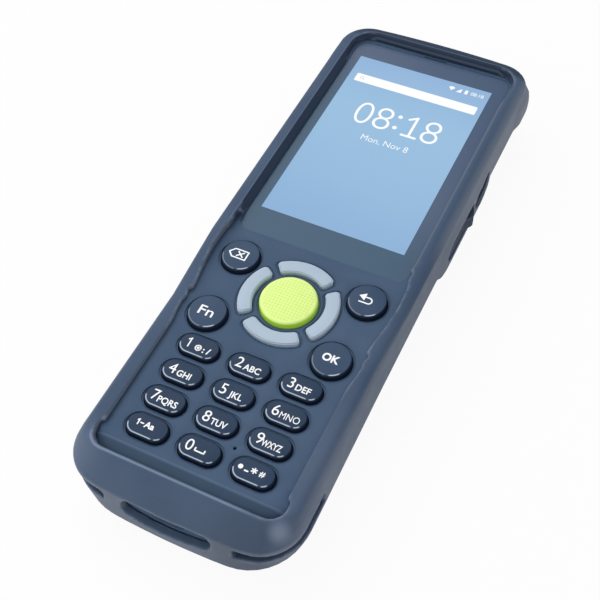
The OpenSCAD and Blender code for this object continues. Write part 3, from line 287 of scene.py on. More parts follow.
@dataclass(frozen=True)
class Moulded(Finish):
    """Moulded rubber or plastic, with grain, slow drift in colour, rub marks and settled dust."""

    second: Colour
    rough: float = 0.6
    grain_mm: float = 0.35
    grain_depth_mm: float = 0.02
    specular: float = 0.25
    cloudy: float = 0.10
    dusty: float = 0.10

    def dress(self) -> None:
        """Dresses the material."""
        r = self.r
        slow = r.noise(22.0, 2.0)
        r.layer(slow.rise(0.35, 0.7), self.second)
        self.pattern()
        specks = r.noise(1.1, 4.0, 0.7)
        r.layer(specks.rise(0.62, 0.8) * self.dusty, DUST)
        rough = self.rough + self.cloudy * (slow - 0.5) + 0.12 * (specks - 0.5) - self.wear()
        r.set(Roughness=rough, Specular_IOR_Level=self.specular)
        r.relief(r.noise(self.grain_mm, 2.0, 0.6) + 0.5 * specks, self.grain_depth_mm, 0.6)

    # Subclasses lay painted light and shade here.
    def pattern(self) -> None:
        """Lays on what lies under the dust: here nothing."""

    # Subclasses lay rubbing, dirt and painted light here.
    def wear(self) -> Number:
        """Lays on what lies over the dust, here nothing, and gives how much smoother it is."""
        return 0.0


@dataclass(frozen=True)
class CasePlastic(Moulded):
    """The case: fine-textured plastic; painted shade on its chin and painted light on its crease and end
    wall.
    """

    crease_y: float = -80.6 * MM
    end_y: float = -89.5 * MM

    def pattern(self) -> None:
        """Lays on the chin's painted shade, the end wall's painted light and a painted highlight on the
        crease's ridge.
        """
        r = self.r
        front = r.z.rise(0.014, 0.016)
        # Painted shade: the chin below the crease is darker, where it slopes away from the light.
        r.layer(r.y.rise(self.crease_y + 0.0001, self.crease_y - 0.0004) * front * 0.75, ink(50, 68, 88))
        # Painted light: the end wall is lighter, against the shade it lies in inside the charging slot.
        r.layer(r.y.rise(self.end_y, self.end_y - 0.001) * 0.8, ink(80, 104, 134))
        # Painted highlight: a thin bright line along the crease's ridge.
        r.layer(r.y.near(self.crease_y + 0.0004, 0.0003) * front * 0.2, ink(130, 144, 164))


@dataclass(frozen=True)
class BootRubber(Moulded):
    """The boot's rubber: rubbed edges, dirt in hollows, and painted light and shade on sides, lip, edges and
    hollows.
    """

    # A brownish tint for steep faces: painted light reflected onto them from below.
    side: Colour = ink(118, 127, 142)
    crease_x: float = 28.9 * MM
    crease_y: float = 91.3 * MM
    corner: float = 7.5 * MM
    foot_x: float = 28.0 * MM
    foot_y: float = -84.0 * MM
    foot_corner: float = 4.5 * MM
    # Painted highlights: soft lighter spots, each as x, y, z, reach and strength.
    polished: tuple[tuple[float, float, float, float, float], ...] = (
        (0.0286, -0.0851, 0.0200, 0.0042, 0.85), (-0.0300, -0.0860, 0.0190, 0.0130, 0.30),
        (0.0315, -0.0650, 0.0215, 0.0300, 0.17))

    def pattern(self) -> None:
        """Lays on painted light and shade: sides, low right corner, head end, lip and the foot opening's
        edge.
        """
        r = self.r
        patch = r.noise(9.0).rise(0.25, 0.7)
        # Painted light: steep faces take the brownish tint reflected from below.
        r.layer(r.up.size().rise(0.88, 0.25) * (0.8 + 0.2 * patch), self.side)
        # Painted sheen: the right side's wall is lighter from the middle towards the head.
        r.layer(r.x.rise(0.0300, 0.0326) * r.y.rise(0.0, 0.02) * r.z.rise(0.012, 0.016) * 0.6, self.side)
        r.layer(r.x.rise(0.0318, 0.0336) * r.y.rise(0.015, 0.04) * 0.3, ink(156, 162, 172))
        # Painted shade: the low right corner of the foot is darker.
        low_corner_shade = r.x.rise(0.008, 0.020) * r.x.rise(0.0295, 0.0255) * r.y.rise(-0.0830, -0.0860)
        r.layer(low_corner_shade * 0.32, ink(40, 54, 74))
        self.lip()
        # Painted highlight: a thin bright line along the foot opening's edge.
        below = (self.foot_y + self.foot_corner) - r.y
        past = past_corner(r.x.size() - (self.foot_x - self.foot_corner), below, self.foot_corner)
        edge = past.near(0.0007, 0.0006) * below.rise(0.001, 0.0035) * r.z.rise(0.0205, 0.0212)
        r.layer(edge * r.x.rise(0.027, 0.012) * 0.6, ink(142, 158, 184))

    def lip(self) -> None:
        """Lays on painted shade at the head end and inside the lip, and painted highlight lines along the
        lip.
        """
        r = self.r
        ahead = r.y - (self.crease_y - self.corner)
        out = past_corner(r.x.size() - (self.crease_x - self.corner), ahead, self.corner)
        here = r.y.rise(-0.006, -0.002) * r.z.rise(0.0185, 0.0195)
        # Painted shade: the head end is darker.
        r.layer(ahead.rise(0.0035, 0.0065) * r.z.rise(0.012, 0.018) * 0.75, ink(34, 50, 68))
        lit = r.x.rise(0.018, 0.027) * ahead.rise(0.004, -0.004)
        # Painted shade: the wall inside the lip is dark, except on the right side, where light falls.
        r.layer(out.rise(0.0001, -0.0002) * here * (0.8 - 0.8 * lit), ink(24, 42, 66))
        # Painted highlight: thin bright lines along the lip's edge and its step.
        rim = out.near(0.0002, 0.0003) * (1.0 - lit) + 1.6 * out.near(-0.0017, 0.0004) * lit
        step = out.near(-0.0012, 0.00025) * ahead.rise(0.0, 0.004)
        r.layer(((rim * 0.35 + step * 0.3) * here).smaller(1.0), ink(120, 136, 158))

    def wear(self) -> Signal:
        """Lays on rubbed edges and dirt in hollows, with painted highlights and painted shade.

        Returns:
            How much smoother the rubbed edges are.
        """
        r = self.r
        # Rubbed edges, lighter and smoother; the lightness is partly a painted highlight.
        rubbing_and_sheen = r.held("rub") * r.noise(3.0, 4.0, 0.65).rise(0.25, 0.7)
        r.layer(rubbing_and_sheen * 0.6, ink(138, 152, 176))
        # Painted highlights: soft lighter spots.
        for x, y, z, reach, most in self.polished:
            r.layer(span(r.x - x, r.y - y, r.z - z).rise(reach, 0.0) * most, ink(128, 140, 162))
        # Dirt and painted shade in hollows, weaker in the charging slot.
        slot = r.x.size().rise(0.0165, 0.0135) * r.y.rise(-0.0895, -0.0910)
        r.layer(r.held("deep").rise(0.24, 0.56) * (0.85 - 0.6 * slot), ink(28, 44, 70))
        return 0.14 * rubbing_and_sheen


class KeyForm(Enum):
    """The keys' two forms: half the straight run, end radius and the painted highlight line's end, in
    millimetres.
    """

    PILL = (2.7, 3.4, 2.2)
    ROUND = (0.0, 5.8, 99.0)


@dataclass(frozen=True)
class KeyPlastic(Finish):
    """Satin key plastic with painted shade on its sides and painted highlights at the lower left and lower
    right.
    """

    second: Colour
    form: KeyForm
    # line and spot: how strong the painted highlight line and spot are.
    line: float
    spot: float

    def dress(self) -> None:
        """Dresses the material."""
        r = self.r
        run, radius, line_end = self.form.value
        along, v, _ = r.parts(r.node("ShaderNodeUVMap", uv_map="middle").outputs[0])
        u = (along - run).larger(0.0) + (along + run).smaller(0.0)
        length = span(u, v).larger(0.001)
        right, head = u / length, v / length
        out = length - radius - 0.3 * head.rise(-0.1, 0.8)
        r.layer(r.noise(9.0, 2.0).rise(0.35, 0.7), self.second)
        specks = r.noise(0.9, 4.0, 0.7)
        r.layer(specks.rise(0.62, 0.82) * 0.06, DUST)
        # Painted shade: the sloping sides and the top's outer rim are dark.
        r.layer(out.rise(-0.62, -0.42).larger(r.up.rise(0.8, 0.35)) * 0.9, ink(8, 20, 40))
        # Painted highlight: a bright line along the lower left edge and a spot at the lower right.
        band = out.rise(-0.9, -0.72) * out.rise(-0.42, -0.55)
        line = head.rise(-0.08, -0.3) * right.rise(0.12, 0.02) * along.rise(line_end + 0.8, line_end)
        spot = (right * 0.55 - head * 0.835).rise(0.93, 0.99)
        r.layer(band * (line * self.line + spot * self.spot).smaller(1.0), ink(188, 204, 222))
        r.set(Roughness=0.4 + 0.12 * (specks - 0.5), Specular_IOR_Level=0.12)
        r.relief(r.noise(0.4, 2.0), 0.004, 0.5)


@dataclass(frozen=True)
class LimeKey(Finish):
    """The scan key's lime plastic, with grime; painted light makes its top paler than its stronger side."""

    top: Colour

    def dress(self) -> None:
        """Dresses the material."""
        r = self.r
        # Painted light: the upward faces are paler than the side.
        r.layer(r.up.rise(0.2, 0.9), self.top)
        grime = r.noise(4.0, 4.0, 0.6)
        r.layer(grime.rise(0.58, 0.8) * 0.16, ink(176, 200, 92))
        r.set(Roughness=0.48 + 0.14 * (grime - 0.5), Specular_IOR_Level=0.4)
        r.relief(r.noise(0.3, 2.0), 0.02, 0.5)


@dataclass(frozen=True)
class Metal(Finish):
    """Sheet steel, plated screws and gold contacts, with drawn lines and dull patches."""

    dull: Colour
    rough: float = 0.32
    along: Place = (1.0, 0.05, 1.0)

    def dress(self) -> None:
        """Dresses the material."""
        r = self.r
        drawn = r.node("ShaderNodeMapping", {"Vector": r.place, "Scale": self.along}).outputs[0]
        lines = r.noise(0.25, 2.0, 0.6, drawn)
        patch = r.noise(2.5).rise(0.5, 0.8)
        r.layer(patch * 0.5, self.dull)
        r.set(Metallic=1.0, Roughness=self.rough + 0.2 * (lines - 0.5) + 0.15 * patch)
        r.relief(lines, 0.006, 0.5)


@dataclass(frozen=True)
class PrintedGlass(Finish):
    """The cover glass: printed round its border, clear over the display."""

    centre: Point
    half_w: float
    half_l: float
    top: float

    def dress(self) -> None:
        """Dresses the material."""
        r = self.r
        aside, ahead = (r.x - self.centre[0]).size(), (r.y - self.centre[1]).size()
        out = (aside - self.half_w).larger(ahead - self.half_l)
        printed = out.rise(-0.00003, 0.00003) * r.z.rise(self.top - 0.0005, self.top - 0.0002)
        smear = r.noise(14.0, 4.0, 0.6)
        # Painted sheen: the printed border is lighter towards the head and on the right.
        pale = r.y.rise(0.06, 0.084).larger(r.x.rise(0.0225, 0.0235) * r.y.rise(0.0, 0.03))
        r.layer(pale, ink(74, 92, 120))
        r.layer(smear.rise(0.4, 0.75) * 0.2, ink(70, 97, 122))
        rough = 0.28 + 0.10 * smear.rise(0.45, 0.8)
        r.set(Alpha=0.05 + 0.95 * printed, Roughness=rough, Specular_IOR_Level=0.25)
        r.relief(r.noise(30.0, 1.0), 0.01, 0.2)


@dataclass(frozen=True)
class LitPicture(Finish):
    """The display's lit background, a soft drift from one blue to another."""

    foot_y: float
    head_y: float

    def dress(self) -> None:
        """Dresses the material."""
        r = self.r
        height = (r.y - self.foot_y) / (self.head_y - self.foot_y) + 0.9 * r.x
        ramp = r.node("ShaderNodeValToRGB", {0: height + 0.22 * (r.noise(34.0, 2.0) - 0.5)}, stops=[
            (0.0, r.tone), (0.3, ink(153, 190, 224)), (0.7, ink(159, 196, 227)), (1.0, ink(151, 185, 222))])
        r.set(Base_Color=BLACK, Roughness=0.5, Specular_IOR_Level=0.0,
              Emission_Color=ramp.outputs[0], Emission_Strength=1.06)


class LitMark(Finish):
    """White or tinted marks that the display shows."""

    def dress(self) -> None:
        """Dresses the material."""
        r = self.r
        r.layer(r.noise(6.0, 1.0).rise(0.3, 0.8) * 0.06, ink(214, 226, 238))
        r.set(Base_Color=BLACK, Roughness=0.6, Specular_IOR_Level=0.0, Emission_Color=r.tone,
              Emission_Strength=1.14)


class Printed(Finish):
    """Printed key legends, thin in places where thumbs have rubbed them."""

    def dress(self) -> None:
        """Dresses the material."""
        r = self.r
        thin = r.noise(0.8, 4.0, 0.7).rise(0.62, 0.82)
        r.layer(thin * 0.25, ink(150, 162, 180))
        r.set(Roughness=0.42 + 0.2 * thin)
        r.relief(r.noise(0.15, 2.0), 0.006, 0.4)


class Laminate(Finish):
    """The main board: green mask over a web of tracks, with pale pads."""

    def dress(self) -> None:
        """Dresses the material."""
        r = self.r
        bricks = {"Vector": r.place, "Scale": 260.0, "Mortar Size": 0.012}
        track = Signal(r, r.node("ShaderNodeTexBrick", bricks, offset=0.5).outputs["Fac"])
        cells = r.node("ShaderNodeTexVoronoi", {"Vector": r.place, "Scale": 1.0 / (3.2 * MM)})
        pad = Signal(r, cells.outputs["Distance"]).rise(0.22, 0.16)
        r.layer(track * 0.6, ink(40, 122, 78))
        r.layer(pad, ink(196, 178, 120))
        r.set(Roughness=0.35 + 0.2 * pad, Metallic=pad * 0.7)
        r.relief(track + pad, 0.03, 0.5)


@dataclass(frozen=True)
class Window(Finish):
    """A dark window over optics, clear only over the parts that look through it."""

    clear: float
    spots: tuple[Place, ...] = ()

    def dress(self) -> None:
        """Dresses the material."""
        r = self.r
        smear = r.noise(3.0, 4.0, 0.6).rise(0.5, 0.85)
        alpha: Number = 1.0 if self.spots else self.clear
        for x, y, radius in self.spots:
            hole = span(r.x - x, r.y - y).rise(radius + 0.0001, radius - 0.0001)
            alpha = (1.0 - (1.0 - self.clear) * hole).smaller(alpha)
        r.layer(smear * 0.2, ink(70, 74, 82))
        r.set(Roughness=0.08 + 0.18 * smear, Alpha=alpha)
        r.relief(smear, 0.004, 0.3)


class PalePlain(Finish):
    """The floor: pale and even, keeping the object's shadow."""

    def dress(self) -> None:
        """Dresses the material."""
        r = self.r
        r.set(Roughness=0.9, Specular_IOR_Level=0.0)
        glow = r.node("ShaderNodeEmission", {"Color": WHITE, "Strength": 1.0}).outputs[0]
        mixed = r.node("ShaderNodeMixShader", {0: r.straight() * 0.93, 1: r.shader.outputs[0], 2: glow})
        r.feed(r.output.inputs["Surface"], mixed.outputs[0])


def all_finishes() -> dict[str, Material]:
    """Every finish that needs no measure of the frame, by its name."""
    return {name: form(Recipe(name, ink(*first)), *rest).build() for name, form, first, *rest in (
        ("boot_rubber", BootRubber, (65, 83, 108), ink(72, 90, 114), 0.58, 0.28, 0.02, 0.16),
        ("case_plastic", CasePlastic, (68, 89, 115), ink(73, 94, 120), 0.55, 0.22, 0.012, 0.12, 0.0, 0.08),
        ("key_plastic", KeyPlastic, (40, 59, 84), ink(45, 64, 89), KeyForm.PILL, 0.85, 0.8),
        ("round_key_plastic", KeyPlastic, (54, 75, 101), ink(59, 80, 106), KeyForm.ROUND, 0.3, 0.95),
        ("side_key_rubber", Moulded, (44, 60, 80), ink(50, 67, 88), 0.5, 0.3, 0.015),
        ("arrow_plastic", Moulded, (173, 190, 207), ink(178, 195, 211), 0.46, 0.3, 0.01),
        ("black_plastic", Moulded, (30, 31, 34), ink(37, 38, 41), 0.55, 0.3, 0.02),
        ("black_silicone", Moulded, (24, 25, 28), ink(32, 33, 36), 0.75, 0.2, 0.02),
        ("battery_wrap", Moulded, (52, 54, 60), ink(58, 60, 66), 0.42, 0.6, 0.01),
        ("amber_film", Moulded, (172, 112, 42), ink(190, 130, 58), 0.3, 0.5, 0.01),
        ("lime_key", LimeKey, (184, 238, 56), ink(234, 255, 152)),
        ("lime_grid", LimeKey, (184, 238, 56), ink(214, 242, 128)),
        ("sheet_steel", Metal, (190, 192, 196), ink(150, 152, 158)),
        ("screw_steel", Metal, (170, 172, 178), ink(120, 122, 128), 0.28, (1, 1, 0.05)),
        ("contact_gold", Metal, (226, 188, 104), ink(190, 150, 80), 0.25, (1, 1, 1)),
        ("board_laminate", Laminate, (22, 86, 56)),
        ("legend_white", Printed, (253, 254, 255)),
        ("lit_white", LitMark, (252, 253, 253)),
        ("lit_grey", LitMark, (206, 212, 218)),
        ("scan_window_red", Window, (46, 10, 14), 0.86))}


# ---- making pieces


@dataclass(frozen=True)
class Part:
    """What a piece is: its name, finish, slot and body, the nodes it stands for and its smooth angle."""

    name: str
    finish: str
    slot: str
    body: str = ROOT
    replaces: tuple[str, ...] = ()
    smooth: float = 30.0


@dataclass
class Bench:
    """Makes finished pieces and keeps the frame at hand."""

    frame: dict
    finishes: dict[str, Material]
    made: int = 0

    def copy_of(self, node: str) -> Shape:
        """A CAD node's mesh as one connected mesh.

        Args:
            node: The node's name.

        Returns:
            The merged copy.
        """
        bm = bmesh.new()
        bm.from_mesh(self.frame["nodes"][node].data)
        bmesh.ops.remove_doubles(bm, verts=bm.verts, dist=0.002 * MM)
        return bm

    def finish(self, bm: Shape, part: Part) -> bpy.types.Object:
        """Turns a mesh into a piece that rides on its body.

        Args:
            bm: The mesh, in the row frame; it is freed.
            part: What the piece is.

        Returns:
            The piece.
        """
        mesh = bpy.data.meshes.new(part.name)
        bm.to_mesh(mesh)
        bm.free()
        mesh.polygons.foreach_set("use_smooth", [True] * len(mesh.polygons))
        mesh.set_sharp_from_angle(angle=math.radians(part.smooth))
        mesh.materials.append(self.finishes[part.finish])
        piece = bpy.data.objects.new(part.name, mesh)
        bpy.context.scene.collection.objects.link(piece)
        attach(piece, part.body)
        if part.replaces:
            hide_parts(*part.replaces)
        self.made += 1
        LOG.info("%s: %d faces on %s", part.name, len(mesh.polygons), part.body)
        return piece

    def paint(self, nodes: str, material: Material) -> None:
        """Gives CAD nodes a finish.

        Args:
            nodes: Their names, with spaces between them.
            material: The finish.
        """
        for node in nodes.split():
            mesh = self.frame["nodes"][node].data
            mesh.materials.clear()
            mesh.materials.append(material)

    def rounded_copy(self, part: Part, width_mm: float, least: float = 50.0, segments: int = 2) -> None:
        """Makes a piece from the CAD node it stands for, with slightly rounded edges.

        Args:
            part: What the piece is.
            width_mm: The rounding's width.
            least: Only edges over this angle, in degrees, are rounded.
            segments: Faces across the rounding.
        """
        bm = self.copy_of(part.replaces[0])
        bmesh.ops.dissolve_limit(bm, angle_limit=math.radians(0.6), verts=bm.verts, edges=bm.edges)
        over = math.radians(least)
        sharp = [e for e in bm.edges if len(e.link_faces) == 2 and e.calc_face_angle(0.0) > over]
        bmesh.ops.bevel(bm, geom=sharp, offset=width_mm * MM, offset_type="OFFSET", affect="EDGES",
                        segments=segments, profile=0.5, material=-1, clamp_overlap=True)
        bmesh.ops.triangulate(bm, faces=[f for f in bm.faces if len(f.verts) > 4])
        self.finish(bm, part)


def moved(bm: Shape, x: float, y: float, z: float = 0.0) -> Shape:
    """Moves a mesh and hands it back."""
    bmesh.ops.translate(bm, vec=(x, y, z), verts=bm.verts)
    return bm


def joined(parts: Iterable[Shape], thick: float) -> Shape:
    """Puts flat shapes into one closed mesh, and frees them.

    Args:
        parts: The flat shapes.
        thick: How thick they become, upwards.

    Returns:
        The one mesh.
    """
    whole = bmesh.new()
    for part in parts:
        mesh = bpy.data.meshes.new("part")
        part.to_mesh(mesh)
        part.free()
        whole.from_mesh(mesh)
        bpy.data.meshes.remove(mesh)
    grown = bmesh.ops.extrude_face_region(whole, geom=whole.faces[:])["geom"]
    up = [v for v in grown if isinstance(v, bmesh.types.BMVert)]
    bmesh.ops.translate(whole, vec=(0.0, 0.0, thick), verts=up)
    bmesh.ops.recalc_face_normals(whole, faces=whole.faces)
    return whole


def cut_fine(bm: Shape, step: float) -> None:
    """Cuts a mesh along X and Y so that it can follow a curved surface.

    Args:
        bm: The mesh.
        step: The distance between cuts.
    """
    for axis, normal in enumerate((Vector((1.0, 0.0, 0.0)), Vector((0.0, 1.0, 0.0)))):
        low, high = min(v.co[axis] for v in bm.verts), max(v.co[axis] for v in bm.verts)
        for turn in range(1, int((high - low) / step) + 1):
            bmesh.ops.bisect_plane(bm, geom=bm.verts[:] + bm.edges[:] + bm.faces[:], dist=1e-7,
                                   plane_co=normal * (low + turn * step), plane_no=normal)


def drape(bm: Shape, under: Shape, lift: float, sink: float) -> None:
    """Lays a thin flat mesh on a surface below it.

    Args:
        bm: The mesh, standing on the plane Z = 0 and placed in X and Y.
        under: What it lies on; it is freed.
        lift: How far its upper side stands over the surface.
        sink: How far its lower side reaches into it.
    """
    surface = BVHTree.FromBMesh(under)
    under.free()
    middle = max(v.co.z for v in bm.verts) / 2
    for v in bm.verts:
        hit = surface.ray_cast(Vector((v.co.x, v.co.y, 1.0)), Vector((0.0, 0.0, -1.0)))[0]
        if hit is not None:
            v.co.z = hit.z + (lift if v.co.z > middle else -sink)


# ---- flat shapes, in millimetres


def put(bm: Shape, x: float, y: float) -> Shape:
    """Moves a flat shape and hands it back."""
    return moved(bm, x * MM, y * MM)


def arc(radius: float, x: float, y: float, degrees: Iterable[int]) -> list[Point]:
    """Points on a circle at the given angles."""
    return [(x + radius * math.cos(math.radians(a)), y + radius * math.sin(math.radians(a))) for a in degrees]


def plate(width: float, length: float, radius: float, corner: int = 5) -> Shape:
    """A rounded rectangle.

    Args:
        width: Its size along X.
        length: Its size along Y.
        radius: Its corners' radius.
        corner: Sides round each corner.

    Returns:
        The flat shape.
    """
    bm = bmesh.new()
    bmesh.ops.create_grid(bm, x_segments=1, y_segments=1, size=0.5)
    bmesh.ops.scale(bm, vec=(width * MM, length * MM, 1.0), verts=bm.verts)
    bmesh.ops.bevel(bm, geom=bm.verts[:], offset=radius * MM, offset_type="OFFSET", affect="VERTICES",
                    segments=corner, profile=0.5, material=-1)
    return bm


def disc(radius: float, segments: int = 24) -> Shape:
    """A circle.

    Args:
        radius: Its radius.
        segments: How many sides stand for it.

    Returns:
        The flat shape.
    """
    bm = bmesh.new()
    bmesh.ops.create_circle(bm, cap_ends=True, radius=radius * MM, segments=segments)
    return bm


def outline(*points: Point) -> Shape:
    """A drawn shape.

    Args:
        *points: Its corners.

    Returns:
        The flat shape.
    """
    bm = bmesh.new()
    bm.faces.new([bm.verts.new((x * MM, y * MM, 0.0)) for x, y in points])
    return bm


def path(line: float, *points: Point) -> list[Shape]:
    """Straight strokes from point to point.

    Args:
        line: Their width.
        *points: The points.

    Returns:
        The flat strokes.
    """
    strokes = []
    for start, end in zip(points, points[1:]):
        way = Vector(end) - Vector(start)
        bm = plate(way.length + line, line, line * 0.3, 3)
        bm.transform(Matrix.Rotation(math.atan2(way.y, way.x), 4, "Z"))
        strokes.append(put(bm, (start[0] + end[0]) / 2, (start[1] + end[1]) / 2))
    return strokes


def written(text: str, bold: float) -> Shape:
    """A line of text in the font's own size.

    Args:
        text: The text.
        bold: How much fatter than the font, as a share of its size.

    Returns:
        The flat shape.
    """
    curve = bpy.data.curves.new("line", "FONT")
    fill(curve, body=text, offset=bold, resolution_u=5)
    holder = bpy.data.objects.new("line", curve)
    bpy.context.scene.collection.objects.link(holder)
    bpy.context.view_layer.update()
    mesh = bpy.data.meshes.new_from_object(holder.evaluated_get(bpy.context.evaluated_depsgraph_get()))
    bm = bmesh.new()
    bm.from_mesh(mesh)
    bmesh.ops.remove_doubles(bm, verts=bm.verts, dist=1e-5)
    bpy.data.objects.remove(holder)
    bpy.data.curves.remove(curve)
    bpy.data.meshes.remove(mesh)
    return bm


def words(text: str, height: float, width: Optional[float], bold: float = 0.0) -> Shape:
    """A line of text about the middle of its capitals.

    Args:
        text: The text.
        height: The height of its capitals.
        width: The whole line's width, or None for the font's own.
        bold: How much fatter than the font, as a share of its size.

    Returns:
        The flat shape.
    """
    capital = written("H", bold)
    rows = [v.co.y for v in capital.verts]
    low, high = min(rows), max(rows)
    capital.free()
    bm = written(text, bold)
    left, right = min(v.co.x for v in bm.verts), max(v.co.x for v in bm.verts)
    up = height * MM / (high - low)
    across = up if width is None else width * MM / (right - left)
    moved(bm, -(left + right) / 2, -(low + high) / 2)
    bmesh.ops.scale(bm, vec=(across, up, 1.0), verts=bm.verts)
    return bm


@dataclass
class Assembly:
    """Any sub-assembly that is dressed at the bench."""

    bench: Bench


# ---- boot


@dataclass
class Boot(Assembly):
    """The rubber boot, evened out into one soft skin."""

    voxel: float = 0.38 * MM
    passes: int = 6
    most: int = 176000
    rub_from: float = 0.03
    rub_range: float = 0.09
    reach: float = 5.0 * MM
    rays: int = 9

    def build(self) -> None:
        """Makes the skin and marks where it is rubbed and lit, and where dirt and painted shade gather."""
        part = Part("boot_skin", "boot_rubber", "boot_rubber", ROOT, ("boot",), 60.0)
        piece = self.bench.finish(self.bench.copy_of("boot"), part)
        fill(piece.modifiers.new("even", "REMESH"), mode="VOXEL", voxel_size=self.voxel)
        fill(piece.modifiers.new("soften", "SMOOTH"), factor=0.5, iterations=self.passes)
        self.apply(piece)
        count = sum(len(p.vertices) - 2 for p in piece.data.polygons)
        if count > self.most:
            fill(piece.modifiers.new("thin", "DECIMATE"), ratio=self.most / count)
            self.apply(piece)
        bm = bmesh.new()
        bm.from_mesh(piece.data)
        bm.verts.ensure_lookup_table()
        bm.normal_update()
        for name, values in (("rub", self.rubbed(bm)), ("deep", self.walled(bm))):
            piece.data.attributes.new(name, "FLOAT", "POINT").data.foreach_set("value", values)
        bm.free()
        piece.data.polygons.foreach_set("use_smooth", [True] * len(piece.data.polygons))
        LOG.info("boot_skin: %d faces after thinning", len(piece.data.polygons))

    @staticmethod
    def apply(piece: bpy.types.Object) -> None:
        """Works a piece's modifiers into its mesh.

        Args:
            piece: The piece.
        """
        mesh = bpy.data.meshes.new_from_object(piece.evaluated_get(bpy.context.evaluated_depsgraph_get()))
        old = piece.data
        if not mesh.materials:
            mesh.materials.append(old.materials[0])
        piece.modifiers.clear()
        piece.data = mesh
        bpy.data.meshes.remove(old)

    def rubbed(self, bm: Shape) -> list[float]:
        """How far each point stands out of its neighbours.

        Args:
            bm: The skin.

        Returns:
            A value from 0 to 1 for each point.
        """
        bend = []
        for v in bm.verts:
            around = [e.other_vert(v).co for e in v.link_edges]
            reach = sum((p - v.co).length for p in around) / len(around)
            out = sum((v.co - p).dot(v.normal) for p in around) / len(around)
            bend.append(out / max(reach, 1e-6))
        for _ in range(3):
            bend = [0.5 * bend[v.index] + 0.5 * sum(bend[e.other_vert(v).index] for e in v.link_edges)
                    / len(v.link_edges) for v in bm.verts]
        return [min(max((b - self.rub_from) / self.rub_range, 0.0), 1.0) for b in bend]

    def walled(self, bm: Shape) -> list[float]:
        """How walled in each point is.

        Args:
            bm: The skin.

        Returns:
            The share of the rays from each point that meet a wall within reach.
        """
        tree = BVHTree.FromBMesh(bm)
        ways = [(0.0, 0.0, 1.0)]
        for turn in range(self.rays - 1):
            angle, tilt = math.tau * turn / (self.rays - 1), math.radians(38 if turn % 2 else 62)
            ways.append((math.sin(tilt) * math.cos(angle), math.sin(tilt) * math.sin(angle), math.cos(tilt)))
        deep = []
        for v in bm.verts:
            side = v.normal.orthogonal().normalized()
            other = v.normal.cross(side)
            start = v.co + v.normal * 0.15 * MM
            rays = [side * a + other * b + v.normal * c for a, b, c in ways]
            met = sum(tree.ray_cast(start, ray, self.reach)[0] is not None for ray in rays)
            deep.append(met / self.rays)
        return deep


# ---- keys


